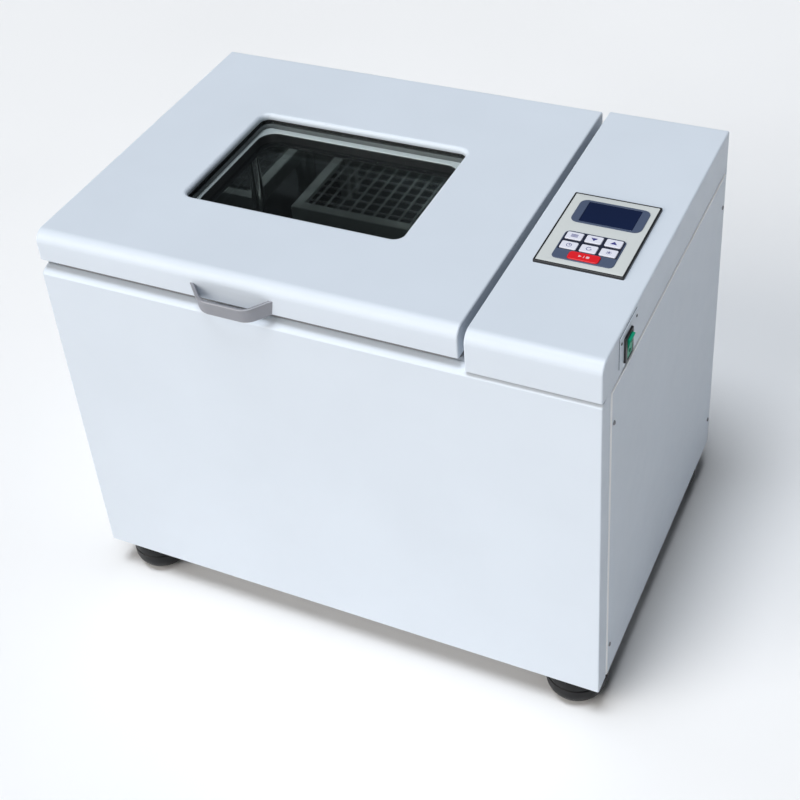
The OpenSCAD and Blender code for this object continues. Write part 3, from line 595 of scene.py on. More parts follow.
def side_skins():
    """Side plates whose rolled edge is painted paler than the face, as a painted highlight."""
    step, roll, r = 0.3, 2.4, 3
    for side, facing in (("left", FACING_LEFT), ("right", FACING_RIGHT)):
        box = Box(side + "_side_panel")
        base = box.x0 if side == "right" else box.x1
        at = place((base, box.mid.y, box.mid.z), **facing)
        levels = [(0, 0), (0, step)]
        levels += [(roll * (1 - math.cos(a)), step + (box.w - step) * math.sin(a))
                   for a in quarter(4)[1:]]
        m = Maker()
        # The rolled edge takes the paler paint, a painted highlight.
        m.paint = 1
        m.plate(at, [(box.d - 2 * i, box.h - 2 * i, r - i * 0.5, h) for i, h in levels],
                fill=(True, False))
        m.paint = 0
        m.flat(at, [rounded(box.d - 2 * roll, box.h - 2 * roll, r - roll * 0.5)], box.w)
        piece(side + "_side_plate", m, "cabinet", [paint, edge_highlight_paint],
              [side + "_side_panel"], smooth=50)


def back_skin():
    """The back sheet with a louvred vent and the hole for the mains inlet."""
    box, inlet_box = Box("back_panel"), Box("power_inlet")
    corner, slots, slot_w, slot_h, pitch, lip = 1.8, 9, 90, 5, 12, 1.2
    vent_x, vent_z = box.x0 + 612, box.z0 + 300
    at = place((0, box.y1, 0), u=(1, 0, 0), v=(0, 0, 1), w=(0, -1, 0))
    x0, x1 = box.x0 + corner, box.x1 - corner
    heights = [vent_z + i * pitch for i in range(slots)]
    holes = [moved(rounded(slot_w, slot_h, slot_h / 2, 4), vent_x, z) for z in heights]
    inlet_hole = moved(rounded(32, 24, 2, 2), inlet_box.mid.x, inlet_box.mid.z)
    m = Maker()
    m.flat(at, [[(x0, box.z0), (x1, box.z0), (x1, box.z1), (x0, box.z1)], *holes, inlet_hole])
    for hole, middle in zip(holes, heights):
        narrowed = [(x, middle + (z - middle) * 0.7) for x, z in hole]
        m.band([lay(at, hole), lay(at, narrowed, lip)])
    for side, x in ((-1, box.x0), (1, box.x1)):
        line = [(x, box.d)] + [(x - side * i, -h) for i, h in soft_edge(corner, 0, 5)]
        m.band([[at(px, z, depth) for px, depth in line] for z in (box.z0, box.z1)],
               closed=False)
    piece("back_pressing", m, "cabinet", paint, ["back_panel"], shell=SHEET)


def side_screws():
    box = Box("panel_screws")
    m = Maker()
    r, rise = 2.8, 1.6
    for facing, x in ((FACING_LEFT, box.x0 + rise), (FACING_RIGHT, box.x1 - rise)):
        for y in (box.y0 + r, box.y1 - r):
            for z in (box.z0 + r, box.z1 - r):
                screw(m, place((x, y, z), **facing), r, rise, random.uniform(0, 90))
    piece("side_screws", m, "cabinet", dark_steel, ["panel_screws"])


def rubber_feet():
    box = Box("feet")
    r = 38
    m = Maker()
    profile = [(6, 3), (9, 3), (9, 0.8), (10, 0)] + arc(r - 22, 22, 22, -90, -4, 12)
    profile += [(r, 23), (r, 30), (r - 1.2, 31), (r - 1.2, 32.5), (r, 33.5), (r, 44),
                (r - 1, 45.6), (r - 3, 46.4), (r - 3, 47)]
    for x in (box.x0 + r, box.x1 - r):
        for y in (box.y0 + r, box.y1 - r):
            m.lathe(place((x, y, box.z0)), profile, 64)
    piece("rubber_feet", m, "cabinet", rubber, ["feet"])


def gasket():
    box = Box("lid_gasket")
    m = Maker()
    at = place((box.mid.x, box.mid.y, 0))
    wide, neck, bulb, r = 7, 1.2, 4.4, 14
    foot = [(0, 0), (0, 2), (-neck, 2.6), (-neck, 3.6)]
    section = foot + [(x - wide / 2, bulb + (box.h - bulb) * z / (wide / 2))
                      for x, z in arc(0, 0, wide / 2, 0, 180, 10)]
    section += [(-wide - g, z) for g, z in foot[::-1]]
    m.plate(at, [(box.w + 2 * g, box.d + 2 * g, r + g, box.z0 + z) for g, z in section], 6,
            loop=True)
    piece("bulb_gasket", m, "cabinet", grey_rubber, ["lid_gasket"])


# ---------------------------------------------------------------- window


def window_ledge():
    """A bright ledge round the lower pane, below a wall painted dark as painted shade."""
    low, high, edge = pane_frame.z0, pane_frame.z1, 0.5
    ledge = low + 2
    wide = (opening_w, opening_d, OPENING_R)
    outer = (pane_frame.w, pane_frame.d, OPENING_R + 6)
    light = (light_w, light_d, LIGHT_R)
    eased = (light_w + 2 * edge, light_d + 2 * edge, LIGHT_R + edge)
    m = Maker()
    # Paint 1, every face but the ledge, is the dark copy: painted shade.
    for coat, levels in (
            (1, [(*wide, high), (*outer, high), (*outer, low), (*light, low),
                 (*light, ledge - edge)]),
            (1, [(*wide, ledge), (*wide, high)]),
            (0, [(*light, ledge - edge), (*eased, ledge), (*wide, ledge)])):
        m.paint = coat
        m.plate(at_window, levels, 8, fill=(False, False))
    piece("window_ledge", m, "lid", [trim, wall_shade_paint], ["window_frame"])


def window_rubber():
    m = Maker()
    section = [(12, seal.z0), (12, seal.z1), (0.6, seal.z1), (-1.2, seal.z1 - 0.3),
               (-1.8, seal.z0 + 0.7), (-1.2, seal.z0)]
    m.plate(at_window, [(opening_w + g, opening_d + g, OPENING_R + g / 2, z)
                        for g, z in section], 8, loop=True)
    piece("window_rubber", m, "lid", rubber, ["window_seal"])


def window_panes():
    panes = Box("window_glass")
    m = Maker()
    for w, d, r, low, high in (
            (pane_frame.w - 4, pane_frame.d - 4, OPENING_R + 4, panes.z1 - 5, panes.z1),
            (light_w - 0.6, light_d - 0.6, LIGHT_R, panes.z0, panes.z0 + 4)):
        m.slab(at_window, w, d, r, low, high, 0.5, 8)
    piece("window_panes", m, "lid", glass, ["window_glass"])


def lid_pan():
    """The lid's inner pan, with a raised bead round a dark-lipped window."""
    box = Box("lid_liner")
    lip, fold, skirt, bead, inset = 5, 1.5, 12, 1.6, 22

    def round_light(grow):
        return rounded(light_w + 2 * grow, light_d + 2 * grow, LIGHT_R + grow, 8)

    def rim(grow, r):
        return moved(rounded(box.w - 2 * grow, box.d - 2 * grow, r, 3),
                     box.mid.x - pane_frame.mid.x, box.mid.y - pane_frame.mid.y)

    m = Maker()
    m.flat(at_window, [rim(fold, 1.5), round_light(15)], box.z0)
    m.band([lay(at_window, rim(grow, r), box.z0 + up)
            for grow, r, up in ((fold, 1.5, 0), (0, 3, fold), (0, 3, skirt))])
    m.band([lay(at_window, round_light(grow), box.z0 + up)
            for grow, up in ((15, 0), (12, bead), (9, 0), (-lip, 0))])
    m.paint = 1
    m.band([lay(at_window, round_light(grow), box.z0 + up)
            for grow, up in ((-lip, 0), (-lip, 1), (0, 1), (0, box.h))])
    m.paint = 0
    for i in range(4):
        x = box.x0 + inset + i * (box.w - 2 * inset) / 3
        for y in (box.y0 + inset, box.y1 - inset):
            screw(m, place((x, y, box.z0), **FACING_DOWN), 3.2, 1.4, random.uniform(0, 90))
    piece("lid_inner_pan", m, "lid", [satin_steel, black], ["lid_liner"],
          smooth=40)


def strap_handle():
    """A flat strap, bent away from the lid's front face and back."""
    box = Box("handle")
    thick, high, tilt, bend = 4, 20, math.radians(10), 24
    reach, end, middle, root = 22, 52, 30, 2.2
    slope = (end - middle) / reach
    at = place((box.mid.x, lid.y0, box.mid.z), v=(0, math.cos(tilt), math.sin(tilt)),
               w=(0, -math.sin(tilt), math.cos(tilt)))
    line = filleted([(-end - slope * root, root), (-middle, -reach), (middle, -reach),
                     (end + slope * root, root)], bend, 12)
    m = Maker()
    m.swept(at, line, moved(rounded(thick, high, 1.4, 4), thick / 2, 0))
    piece("lid_handle", m, "lid", handle_metal, ["handle"], smooth=60)


# ----------------------------------------------------------- control head


PLATE_WALL = 2.2
face_top = Box("face_plate").z1
at_plate = place((bezel.mid.x, bezel.mid.y, face_top))
screen = Box("display_lens")
pad = Box("keypad_surround")


def panel_bezel():
    w, d, rise, skirt, seat = bezel.w, bezel.d, face_top - head.z1, 12, -1.2
    levels = [(w - 6, d - 6, 1, -rise - skirt), (w - 6, d - 6, 1, -rise), (w, d, 1.5, -rise)]
    levels += eased(w, d, 1.8, 0.8, 0.3, 1)
    levels += [(w - 2 * PLATE_WALL, d - 2 * PLATE_WALL, 1, h) for h in (0.3, seat)]
    levels += [(w - 12, d - 12, 1, h) for h in (seat, -rise - skirt)]
    m = Maker()
    m.plate(at_plate, levels, 4, loop=True)
    piece("panel_bezel", m, "cabinet", black, ["control_bezel"])


def panel_film():
    margin = 2 * PLATE_WALL + 0.1
    m = Maker()
    m.flat(at_plate, [rounded(bezel.w - margin, bezel.d - margin, 1, 3),
                      moved(rounded(screen.w + 2, screen.d + 1, 2, 3),
                            screen.mid.x - bezel.mid.x, screen.mid.y - bezel.mid.y),
                      moved(rounded(pad.w - 4, pad.d - 4, 3, 3), 0, pad.mid.y - bezel.mid.y)])
    piece("panel_film", m, "cabinet", film, ["face_plate"], shell=0.8)


def display():
    box = Box("display_frame")
    at = place((box.mid.x, box.mid.y, face_top))
    m = Maker()
    m.frame(at, (box.w, box.d, 9), (screen.w + 0.2, screen.d + 0.2, 1), 0.0, box.h, 0.3, 6)
    piece("display_surround", m, "cabinet", slate, ["display_frame"])
    m = Maker()
    m.slab(at, screen.w - 0.1, screen.d - 0.1, 1, screen.z0 - face_top, screen.z1 - face_top, 0.2)
    piece("display_window", m, "cabinet", navy, ["display_lens"])


def keypad_frame():
    """The surround of the keys, darker round the six small ones."""
    at = place((pad.mid.x, pad.mid.y, face_top))
    high, edge, margin, r = pad.h, 0.3, 1.2, 4.5
    keys = [Box(name + "_key") for name in KEYS]

    def key_holes(gap):
        grow = 2 * (gap - KEY_LIP)
        return [moved(rounded(k.w + grow, k.d + grow, START_R if name == "start" else KEY_R, 3),
                      k.mid.x - pad.mid.x, k.mid.y - pad.mid.y) for name, k in zip(KEYS, keys)]

    m = Maker()
    outer = rounded(pad.w, pad.d, 6, 6)
    inner = rounded(pad.w - 2 * edge, pad.d - 2 * edge, 6 - edge, 6)
    m.flat(at, [inner, *key_holes(0.4)], high)
    m.band([lay(at, inner, high), lay(at, outer, high - edge), lay(at, outer, 0)])
    for hole in key_holes(0.4):
        m.band([lay(at, hole, h) for h in (high, 0)])
    split = (keys[3].y0 + keys[-1].y1) / 2 - pad.mid.y
    reach_x, reach_y = pad.w / 2 - margin, pad.d / 2 - margin
    dark = [(-reach_x, split), (reach_x, split)]
    dark += arc(reach_x - r, reach_y - r, r, 0, 90, 6)
    dark += arc(r - reach_x, reach_y - r, r, 90, 180, 6)
    m.paint = 1
    m.flat(at, [dark, *key_holes(0.45)[:-1]], high + 0.05)
    piece("keypad_frame", m, "cabinet", [slate, ink], ["keypad_surround"])


KEY_LIP = 0.7
KEY_R = 2
START_R = 4
MARK_LOW, MARK_RISE = -0.1, 0.12


def printed(m, at, outline, dx=0.0, dy=0.0):
    m.prism(at, moved(outline, dx, dy), MARK_LOW, MARK_LOW + MARK_RISE)


def printed_ring(m, at, outer, inner, sides):
    top = MARK_LOW + MARK_RISE
    m.lathe(at, [(outer, MARK_LOW), (outer, top), (inner, top), (inner, MARK_LOW)], sides,
            loop=True)


def bars(m, at):
    for i in (-1, 0, 1):
        printed(m, at, rounded(8.2, 1.0, 0.4, 2), 0, i * 2.0)


def wedge(m, at, up=1):
    printed(m, at, [(-4, -2.3 * up), (4, -2.3 * up), (0, 2.9 * up)][::up])


def wedge_down(m, at):
    wedge(m, at, -1)


def clock(m, at):
    printed_ring(m, at, 3.1, 2.5, 28)
    printed(m, at, rounded(0.6, 2.2, 0.2, 1), 0, 0.9)
    printed(m, at, rounded(1.8, 0.6, 0.2, 1), 0.7, 0)


def orbit(m, at):
    printed(m, at, arc(0, 0, 3.1, 40, 330, 18) + arc(0, 0, 2.4, 330, 40, 18))
    printed(m, at, [(3.9, -1.2), (2.4, -0.2), (1.9, -2.2)])


def lamp(m, at):
    printed_ring(m, at, 1.5, 0.6, 20)
    for k in range(8):
        a = math.radians(45 * k)
        printed(m, at, [(x * math.cos(a) - y * math.sin(a), x * math.sin(a) + y * math.cos(a))
                        for x, y in moved(rounded(1.3, 0.5, 0.2, 1), 2.7, 0)])


def start_mark(m, at):
    printed(m, at, [(-6, -2), (-2.6, 0), (-6, 2)])
    printed(m, at, rounded(0.7, 4.4, 0.2, 1))
    printed(m, at, rounded(3.6, 3.6, 0.4, 2), 4.4, 0)


KEYS = {"menu": bars, "down": wedge_down, "up": wedge, "timer": clock, "speed": orbit,
        "light": lamp, "start": start_mark}


def key_caps():
    for name, draw in KEYS.items():
        node, start = name + "_key", name == "start"
        box = Box(node)
        w, d = box.w - 2 * KEY_LIP, box.d - 2 * KEY_LIP
        r = 1.6 + (START_R - KEY_R if start else 0)
        at = place((box.mid.x, box.mid.y, box.z1))
        levels = [(box.w, box.d, KEY_R, -3.3), (box.w, box.d, KEY_R, -2.2), (w, d, r, -2.2)]
        levels += eased(w, d, r, 0.7, 0)
        levels += [(w - 2.6, d - 2.6, r - 0.6, 0), (w - 3.4, d - 3.4, r - 0.8, MARK_LOW)]
        m = Maker()
        m.plate(at, levels, 4)
        m.lathe(place((box.mid.x, box.mid.y, box.z0)), [(1.7, 0), (2, 0.3), (2, 4.4)], 20)
        m.paint = 1
        draw(m, at)
        slot, skins = ("key_red", [key_red, pale_mark]) if start else ("key_white",
                                                                       [key_skin, mark])
        piece(name + "_keycap", m, node, skins, [node])


switch_plate = Box("switch_plate")
switch_box = Box("switch_housing")


def switch_backplate():
    box = switch_plate
    at = place((box.x0, box.mid.y, box.mid.z), **FACING_RIGHT)
    m = Maker()
    m.slab(at, box.d, box.h, 2, 0.35, box.w, 0.25)
    # The narrow step under the plate is black: painted shade that deepens the real shadow line
    # round the plate.
    m.paint = 1
    m.plate(at, [(box.d - 0.6, box.h - 0.6, 2, h) for h in (0, 0.35)])
    for side in (-1, 1):
        screw(m, place((box.x1, box.mid.y + side * 25, box.mid.z + 12), **FACING_RIGHT),
              1.8, 0.7, random.uniform(0, 90))
    piece("switch_backplate", m, "cabinet", [paint, black], ["switch_plate"])


def switch_body():
    """The switch's housing: a bezel round a well, and three tags behind."""
    box = switch_box
    wide, high, out = box.d, box.h, box.x1 - switch_plate.x1
    well_w, well_h, deep, behind = 15.8, 28.4, -12, -19.5
    levels = [(wide - 3, high - 4, 1, behind), (wide - 3, high - 4, 1, 0), (wide, high, 2, 0)]
    levels += eased(wide, high, 2, 1.0, out)
    levels += [(well_w + 1.4, well_h + 1.4, 1, out), (well_w, well_h, 0.8, out - 0.7),
               (well_w, well_h, 0.8, deep)]
    m = Maker()
    m.plate(place((switch_plate.x1, box.mid.y, box.mid.z), **FACING_RIGHT), levels, 4)
    for i in (-1, 0, 1):
        z = box.mid.z + i * 9
        m.block((box.x0, box.mid.y - 3.1, z - 0.4), (box.x0 + 10, box.mid.y + 3.1, z + 0.4), 0.15)
    piece("switch_body", m, "cabinet", black, ["switch_housing"])


def rocker_cap():
    """A rocker with a hollow face, tipped to its rest side, marked with a bar and a ring."""
    tilt = math.radians(8)
    pivot = (switch_plate.x1, switch_box.mid.y, switch_box.mid.z)
    out, up = (math.cos(tilt), 0, -math.sin(tilt)), (math.sin(tilt), 0, math.cos(tilt))
    at = place(pivot, u=out, v=up, w=(0, 1, 0))
    half, crown, belly, depth, nose = 13, 4.2, 3.0, 6, 1.2
    outline = [(-depth, -4), (-1, -half + 0.6)]
    outline += arc(crown - nose, nose - half, nose, -90, -10, 4)
    outline += [(belly + (crown - belly) * (k / 8) ** 2, half * k / 8.6) for k in range(-7, 8)]
    outline += arc(crown - nose, half - nose, nose, 10, 90, 4)
    outline += [(-1, half - 0.6), (-depth, 4)]
    m = Maker()
    m.prism(at, outline, -7.5, 7.5, 0.5)
    m.lathe(at, [(1.4, -9.4), (1.4, 9.4)], 16)
    m.paint = 1
    on = place(pivot, u=(0, 1, 0), v=up, w=out)
    m.prism(on, moved(rounded(0.9, 5, 0.3, 2), 0, 7), belly + 0.35, belly + 1.0)
    low, high = belly + 0.3, belly + 0.85
    m.lathe(place(on(0, -7, 0), u=(0, 1, 0), v=up, w=out),
            [(2.4, low), (2.4, high), (1.7, high), (1.7, low)], 24, loop=True)
    piece("rocker_cap", m, "rocker", [green, green_mark], ["switch_rocker"])


def inlet():
    """A socket for a detachable lead, with three pins."""
    box = Box("power_inlet")
    flange, deep = 3, 15
    w, h, back = box.w, box.h, box.y1 - flange
    levels = [(30, 22, 2, -box.d + flange), (30, 22, 2, 0), (w, h, 6, 0)]
    levels += eased(w, h, 6, 0.9, flange, 1)
    levels += [(25.6, 18.1, 4.5, flange), (24, 16.5, 4, flange - 0.8), (24, 16.5, 4, flange - deep)]
    m = Maker()
    m.plate(place((box.mid.x, back, box.mid.z), **FACING_BACK), levels, 5)
    for across, up in ((-7, -2), (0, 2.5), (7, -2)):
        x, z = box.mid.x + across, box.mid.z + up
        m.block((x - 1, box.y1 - deep, z - 2), (x + 1, box.y1 - 4, z + 2), 0.4)
    for side in (-1, 1):
        screw(m, place((box.mid.x + side * 20, box.y1, box.mid.z), **FACING_BACK), 2.8, 1.2,
              random.uniform(0, 90))
    piece("inlet_socket", m, "cabinet", black, ["power_inlet"])


# --------------------------------------------------------------- chamber


def liner():
    """A pressed tub with a flange, and lipped holes for the cranks in its floor."""
    box = Box("chamber_liner")
    flange, wall, r, turn, bend = 10, 1.2, 12, 2.5, 8
    w, d = box.w - 2 * flange, box.d - 2 * flange
    at = place((box.mid.x, box.mid.y, 0))
    top, floor = box.z1, box.z0 + wall
    sections = [(flange, top - wall), (flange, top)] + soft_edge(turn, top, 4)[::-1]
    sections += [(-bend * (1 - math.cos(a)), floor + bend * (1 - math.sin(a)))
                 for a in quarter(5)]
    m = Maker()
    m.plate(at, [(w + 2 * g, d + 2 * g, max(r + g, 5), z) for g, z in sections], 8,
            fill=(False, False))
    crank_hole, support_hole, support = 24, 20, (150, 120)
    holes = [(0, 0, crank_hole)] + [(sx * support[0], sy * support[1], support_hole)
                                    for sx, sy in CORNERS]
    edge = rounded(w - 2 * bend, d - 2 * bend, 5, 8)
    m.flat(at, [edge, *[moved(circle(hr + 3, 32), hx, hy) for hx, hy, hr in holes]], floor)
    for hx, hy, hr in holes:
        m.band([lay(at, moved(circle(hr + g, 32), hx, hy), floor + z)
                for g, z in ((3, 0), (2.2, 0.4), (1.2, 1.6), (0.4, 2.2), (0, 2.2))])
    piece("chamber_tub", m, "cabinet", mirror_steel, ["chamber_liner"])


def rack_frames(centres, w, d, top):
    """A folded angle frame on four legs, front and rear."""
    rail, skirt, sheet, leg, fold, foot = 16, 24, 2, 12, 1.6, Box("platform").z1
    in_w, in_d = w - 2 * rail, d - 2 * rail
    levels = [(w - 2 * sheet, d - 2 * sheet, 0.6, -skirt), (w, d, 1.5, -skirt)]
    levels += eased(w, d, 1.8, fold, 0)
    levels += [(in_w, in_d, 2, 0), (in_w, in_d, 2, -3), (in_w + 2, in_d + 2, 3, -3),
               (in_w + 2, in_d + 2, 3, -sheet), (w - 2 * sheet, d - 2 * sheet, 0.6, -sheet)]
    m = Maker()
    for cx, cy in centres:
        m.plate(place((cx, cy, top)), levels, 4, loop=True)
        for sx, sy in CORNERS:
            x, y = cx + sx * (w / 2 - 1 - leg / 2), cy + sy * (d / 2 - 1 - leg / 2)
            for half, low, high, edge in ((leg / 2, foot + 2, top - 1, 0.8),
                                          (leg / 2 + 1, foot, foot + 2, 0.5)):
                m.block((x - half, y - half, low), (x + half, y + half, high), edge)
    piece("flask_racks", m, "platform", rack_steel, ["rack_frames"])


def racks():
    """Two frames, each crossed by two layers of close-wound springs."""
    box, split, sheet, leg = Box("rack_frames"), 14, 2, 12
    w, d = box.w, (box.d - split) / 2
    centres = [(box.mid.x, box.mid.y + s * (d + split) / 2) for s in (-1, 1)]
    rack_frames(centres, w, d, box.z1)
    pitch, outer, thin, turn = 20, 1.9, 0.4, 2.6
    half_x, half_y = w / 2 - sheet, d / 2 - sheet
    count_x, count_y = (math.floor((half - leg - outer) / pitch) for half in (half_x, half_y))
    low, high = box.z1 - 13, box.z1 - 7
    for name, (cx, cy) in zip(("front", "rear"), centres):
        m = Maker()
        for i in range(-count_y, count_y + 1):
            at = place((cx, cy + i * pitch, low), **FACING_RIGHT)
            coil(m, at, half_x, outer - thin, thin, turn)
        for i in range(-count_x, count_x + 1):
            at = place((cx + i * pitch, cy, high), u=(1, 0, 0), v=(0, 0, 1), w=(0, 1, 0))
            coil(m, at, half_y, outer - thin, thin, turn)
        piece(name + "_rack_springs", m, "platform", wire, ["rack_springs"],
              smooth=180)


def coil(m, at, half, r, thin, turn):
    """One close-wound spring from -half to half, with a straight tail at each end."""
    steps, tail = 8, 5
    count = int((2 * half - 2 * tail) / turn * steps)
    path = [at(0, 0, -half), at(0, 0, -half + tail - 1)]
    for i in range(count + 1):
        a = 2 * math.pi * i / steps
        path.append(at(r * math.cos(a), r * math.sin(a), -half + tail + turn * i / steps))
    path += [at(0, 0, half - tail + 1), at(0, 0, half)]
    m.tube(path, thin, 5)


def hinge_parts():
    """Two butt hinges, each of a leaf on the lid, a leaf on the cabinet and a pin."""
    on_lid, fixed, pins = (Box(n) for n in ("lid_hinge_leaves", "cabinet_hinge_leaves",
                                            "hinge_pins"))
    y, z = pins.mid.y, pins.mid.z
    half, knuckle, gap, thick, r, bore = 30, 14, 0.4, 2, 5, 2.55
    length, pin, cap, off, e = half + 0.3, 2.5, 3.7, 2.6, 0.5
    spread = pins.w / 2 - length - 2
    swing, still, rods = Maker(), Maker(), Maker()
    for x in (pins.mid.x - spread, pins.mid.x + spread):
        at = place((x, y, z), **FACING_RIGHT)
        for m, a, b in ((swing, -knuckle, knuckle), (still, -half, -knuckle - gap),
                        (still, knuckle + gap, half)):
            m.lathe(at, [(bore, a), (r - e, a), (r, a + e), (r, b - e), (r - e, b), (bore, b)],
                    32, loop=True)
        for m, leaf, low, high in ((swing, on_lid, z + off, on_lid.z1),
                                   (still, fixed, fixed.z0, z - off)):
            m.slab(place((x, leaf.y0, (low + high) / 2), **FACING_BACK),
                   2 * half, high - low, 3, 0, thick, 0.5)
        swing.block((x - knuckle, on_lid.y0 + 0.1, z + off), (x + knuckle, y, z + r - 0.2), 0.4)
        for side in (-1, 1):
            mid = x + side * (half + knuckle + gap) / 2
            wide = (half - knuckle - gap) / 2
            still.block((mid - wide, fixed.y0 + 0.1, z - r + 0.2), (mid + wide, y, z - off), 0.4)
        for dx in (-20, 0, 20):
            turn = random.uniform(0, 90)
            for m, leaf, height in ((swing, on_lid, on_lid.z1 - 10),
                                    (still, fixed, fixed.z0 + 10)):
                screw(m, place((x + dx, leaf.y0 + thick, height), **FACING_BACK), 3.4, 1.2, turn)
        rods.lathe(at, [(cap - 1.2, -length - 2), (cap, -length - 1), (cap, -length),
                        (pin, -length), (pin, length), (cap, length), (cap, length + 1),
                        (cap - 1.2, length + 2)], 24)
    piece("hinge_lid_leaves", swing, "lid", zinc, ["lid_hinge_leaves"])
    piece("hinge_fixed_leaves", still, "cabinet", zinc, ["cabinet_hinge_leaves"])
    piece("hinge_rods", rods, "cabinet", satin_steel, ["hinge_pins"])


def fan_guard():
    """A drilled cover with slots down its two sides."""
    box = Box("fan_cover")
    at = place((box.x0, box.mid.y, box.mid.z), **FACING_LEFT)
    w, d, deep, fold, lip = box.d, box.h, box.w, 3, 8
    holes = [(0, 0)]
    for turn in (1, 2):
        holes += arc(0, 0, turn * 15, 0, 360 - 60 / turn, turn * 6 - 1)
    face = rounded(w - 2 * fold, d - 2 * fold, 2, 4)
    m = Maker()
    m.flat(at, [face, *[moved(circle(5, 20), x, y) for x, y in holes]])
    rings = [lay(at, face)]
    rings += [lay(at, rounded(w - 2 * i, d - 2 * i, 5, 4), h)
              for i, h in soft_edge(fold, 0, 4)[::-1][1:] + [(0, lip - deep)]]
    m.band(rings)
    for side in (-1, 1):
        for i in range(7):
            y, z = box.mid.y + side * (w / 2 - 0.4), box.mid.z - 45 + i * 15
            m.block((box.x0 + 6, y - 0.9, z - 3), (box.x1 - 9, y + 0.9, z + 3), 0.6)
    m.band([lay(at, rounded(w, d, 5, 4), h) for h in (lip - deep, 0.6 - deep)])
    piece("fan_guard", m, "cabinet", satin_steel, ["fan_cover"], shell=1.0)


def probe():
    box = Box("temperature_probe")
    at = place((box.x0, box.mid.y, box.mid.z), **FACING_RIGHT)
    wall = 60
    m = Maker()
    m.lathe(at, [(0.6, 0), (1.8, 0.4), (2.5, 1.8), (2.5, wall - 6), (3.6, wall - 6),
                 (3.6, wall - 4)], 20)
    m.lathe(at, [(3, wall - 4), (6.4, wall - 4), (7, wall - 3.5), (7, wall)], 6)
    m.lathe(at, [(2.5, wall), (2.5, box.w)], 16)
    piece("probe_stem", m, "cabinet", satin_steel, ["temperature_probe"])


def keep_cad():
    """CAD nodes whose shape is already right get a material and softened edges."""
    kept = {
        "base_pan": (zinc, 0.4), "top_deck": (paint, 0.5), "insulation": (glass_wool, 2.0),
        "control_board": (board, 0.3), "power_board": (board, 0.4),
        "drive_motor": (motor_paint, 1.0), "motor_pulley": (machined, 0.5),
        "drive_belt": (belt, 0.4), "main_crank": (machined, 0.6),
        "crank_bearing": (zinc, 0.8), "front_left_crank": (machined, 0.5),
        "front_right_crank": (machined, 0.5), "rear_left_crank": (machined, 0.5),
        "rear_right_crank": (machined, 0.5), "support_bearings": (zinc, 0.6),
        "platform": (dark_plate, 0.6), "fan_motor": (motor_paint, 1.0),
        "fan_wheel": (satin_steel, 0.3), "heater_coil": (heated, 0.3),
    }
    for name, (material, width) in kept.items():
        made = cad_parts[name]
        made.data.materials.clear()
        made.data.materials.append(material)
        made.modifiers.new("joined corners", "WELD").merge_threshold = 0.01 * MM
        soften(made, width)


for build in (lid_skin, head_skin, front_skin, side_skins, back_skin, side_screws, rubber_feet,
              gasket, window_ledge, window_rubber, window_panes, lid_pan, strap_handle,
              panel_bezel, panel_film, display, keypad_frame, key_caps, switch_backplate,
              switch_body, rocker_cap, inlet, liner, racks, hinge_parts, fan_guard, probe,
              keep_cad):
    build()

# ---------------------------------------------------------- floor, light, camera


def studio_floor():
    f = Finish("studio_floor", Specular_IOR_Level=0.2)
    f.colour(f.noise(900, 2), [(0.3, (0.85, 0.85, 0.855)), (0.7, (0.88, 0.88, 0.885))])
    f.rough(f.noise(300, 3), 0.6, 0.75)
    reach = 60
    m = bmesh.new()
    bmesh.ops.create_grid(m, x_segments=8, y_segments=8, size=reach)
    data = bpy.data.meshes.new("studio_floor")
    m.to_mesh(data)
    m.free()
    data.materials.append(f.material)
    floor = bpy.data.objects.new("studio_floor", data)
    bpy.context.scene.collection.objects.link(floor)


def shine(name, kind, strength, shade, turn, spot=(0, 0, 0)):
    """A light of one kind, turned, and set down at a spot in metres."""
    data = bpy.data.lights.new(name, kind)
    data.energy, data.color = strength, shade
    made = bpy.data.objects.new(name, data)
    made.location = spot
    made.rotation_mode = "QUATERNION"
    made.rotation_quaternion = turn
    bpy.context.scene.collection.objects.link(made)
    return data


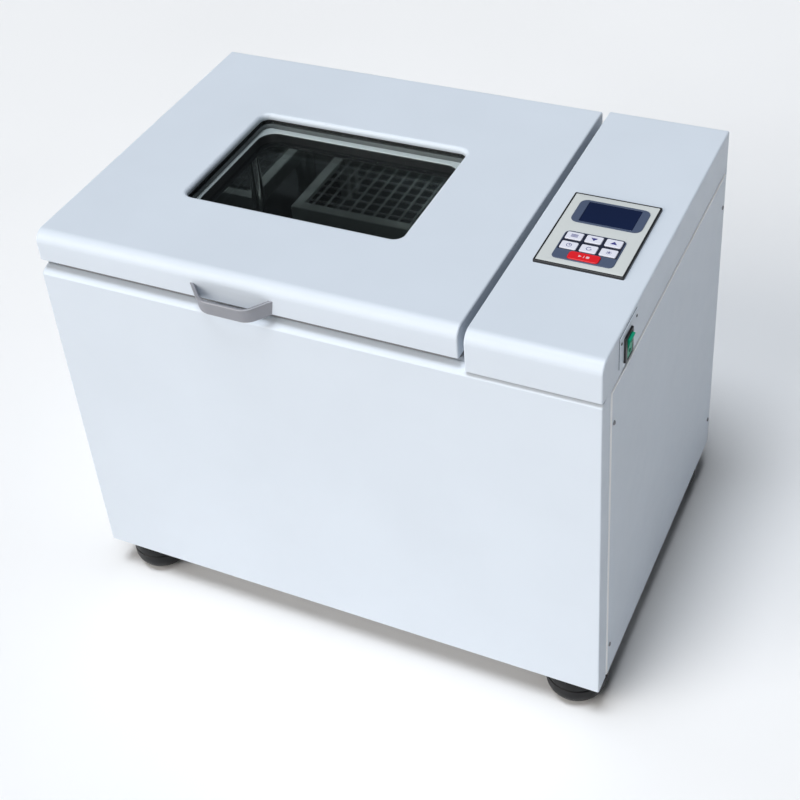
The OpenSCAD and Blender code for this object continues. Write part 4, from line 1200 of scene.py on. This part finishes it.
def studio_light():
    """Two wide suns, and a tube lamp under the front of the chamber's rim."""
    for name, direction, strength, angle, shade in (
            ("key_light", (-0.46, -0.76, 0.46), 2.12, 50, (1.0, 0.955, 0.90)),
            ("top_light", (-0.07, -0.18, 1.0), 2.25, 24, (0.90, 0.948, 1.0))):
        turn = Vector(direction).to_track_quat("Z", "Y")
        shine(name, "SUN", strength, shade, turn).angle = math.radians(angle)
    tub = Box("chamber_liner")
    start = Vector((tub.mid.x, tub.y0 + 50, tub.z1 - 15)) * MM
    end = Vector((tub.mid.x - 80, tub.y1 - 60, tub.z0 + 150)) * MM
    tube = shine("chamber_lamp", "AREA", 0.32, (1.0, 1.0, 1.0),
                 (end - start).to_track_quat("-Z", "Y"), start)
    tube.shape, tube.size, tube.size_y = "RECTANGLE", 0.3, 0.05


def studio_air():
    """A faint blue fill, seen by the camera as a pale backdrop."""
    world = bpy.data.worlds.new("studio_air")
    world.use_nodes = True
    bpy.context.scene.world = world
    tree = world.node_tree
    lit = tree.nodes["Background"]
    lit.inputs["Color"].default_value = (0.86, 0.92, 1.0, 1)
    lit.inputs["Strength"].default_value = 0.08
    seen = tree.nodes.new("ShaderNodeBackground")
    seen.inputs["Color"].default_value = (0.93, 0.94, 0.95, 1)
    blend = tree.nodes.new("ShaderNodeMixShader")
    path = tree.nodes.new("ShaderNodeLightPath")
    for output, socket in ((path.outputs["Is Camera Ray"], blend.inputs[0]),
                           (lit.outputs[0], blend.inputs[1]), (seen.outputs[0], blend.inputs[2]),
                           (blend.outputs[0], tree.nodes["World Output"].inputs["Surface"])):
        tree.links.new(output, socket)


def camera():
    """A standing person's view from the front right, looking down at the lid."""
    data = bpy.data.cameras.new("camera")
    data.lens, data.sensor_width = 66.96, 36
    data.shift_x, data.shift_y = 0.0169, -0.134
    data.clip_end = 100
    made = bpy.data.objects.new("camera", data)
    bpy.context.scene.collection.objects.link(made)
    spot = Vector((0.7029, -1.31915, 1.5195))
    ahead = Vector((-0.38286, 0.70148, -0.60112)).normalized()
    down = Vector((0.20267, -0.57106, -0.79549))
    up = -(down - ahead * down.dot(ahead)).normalized()
    turn = Matrix((ahead.cross(up), up, -ahead)).transposed()
    made.matrix_world = Matrix.Translation(spot) @ turn.to_4x4()
    bpy.context.scene.camera = made


bpy.context.scene.view_settings.view_transform = "Standard"
studio_floor()
studio_light()
studio_air()
camera()
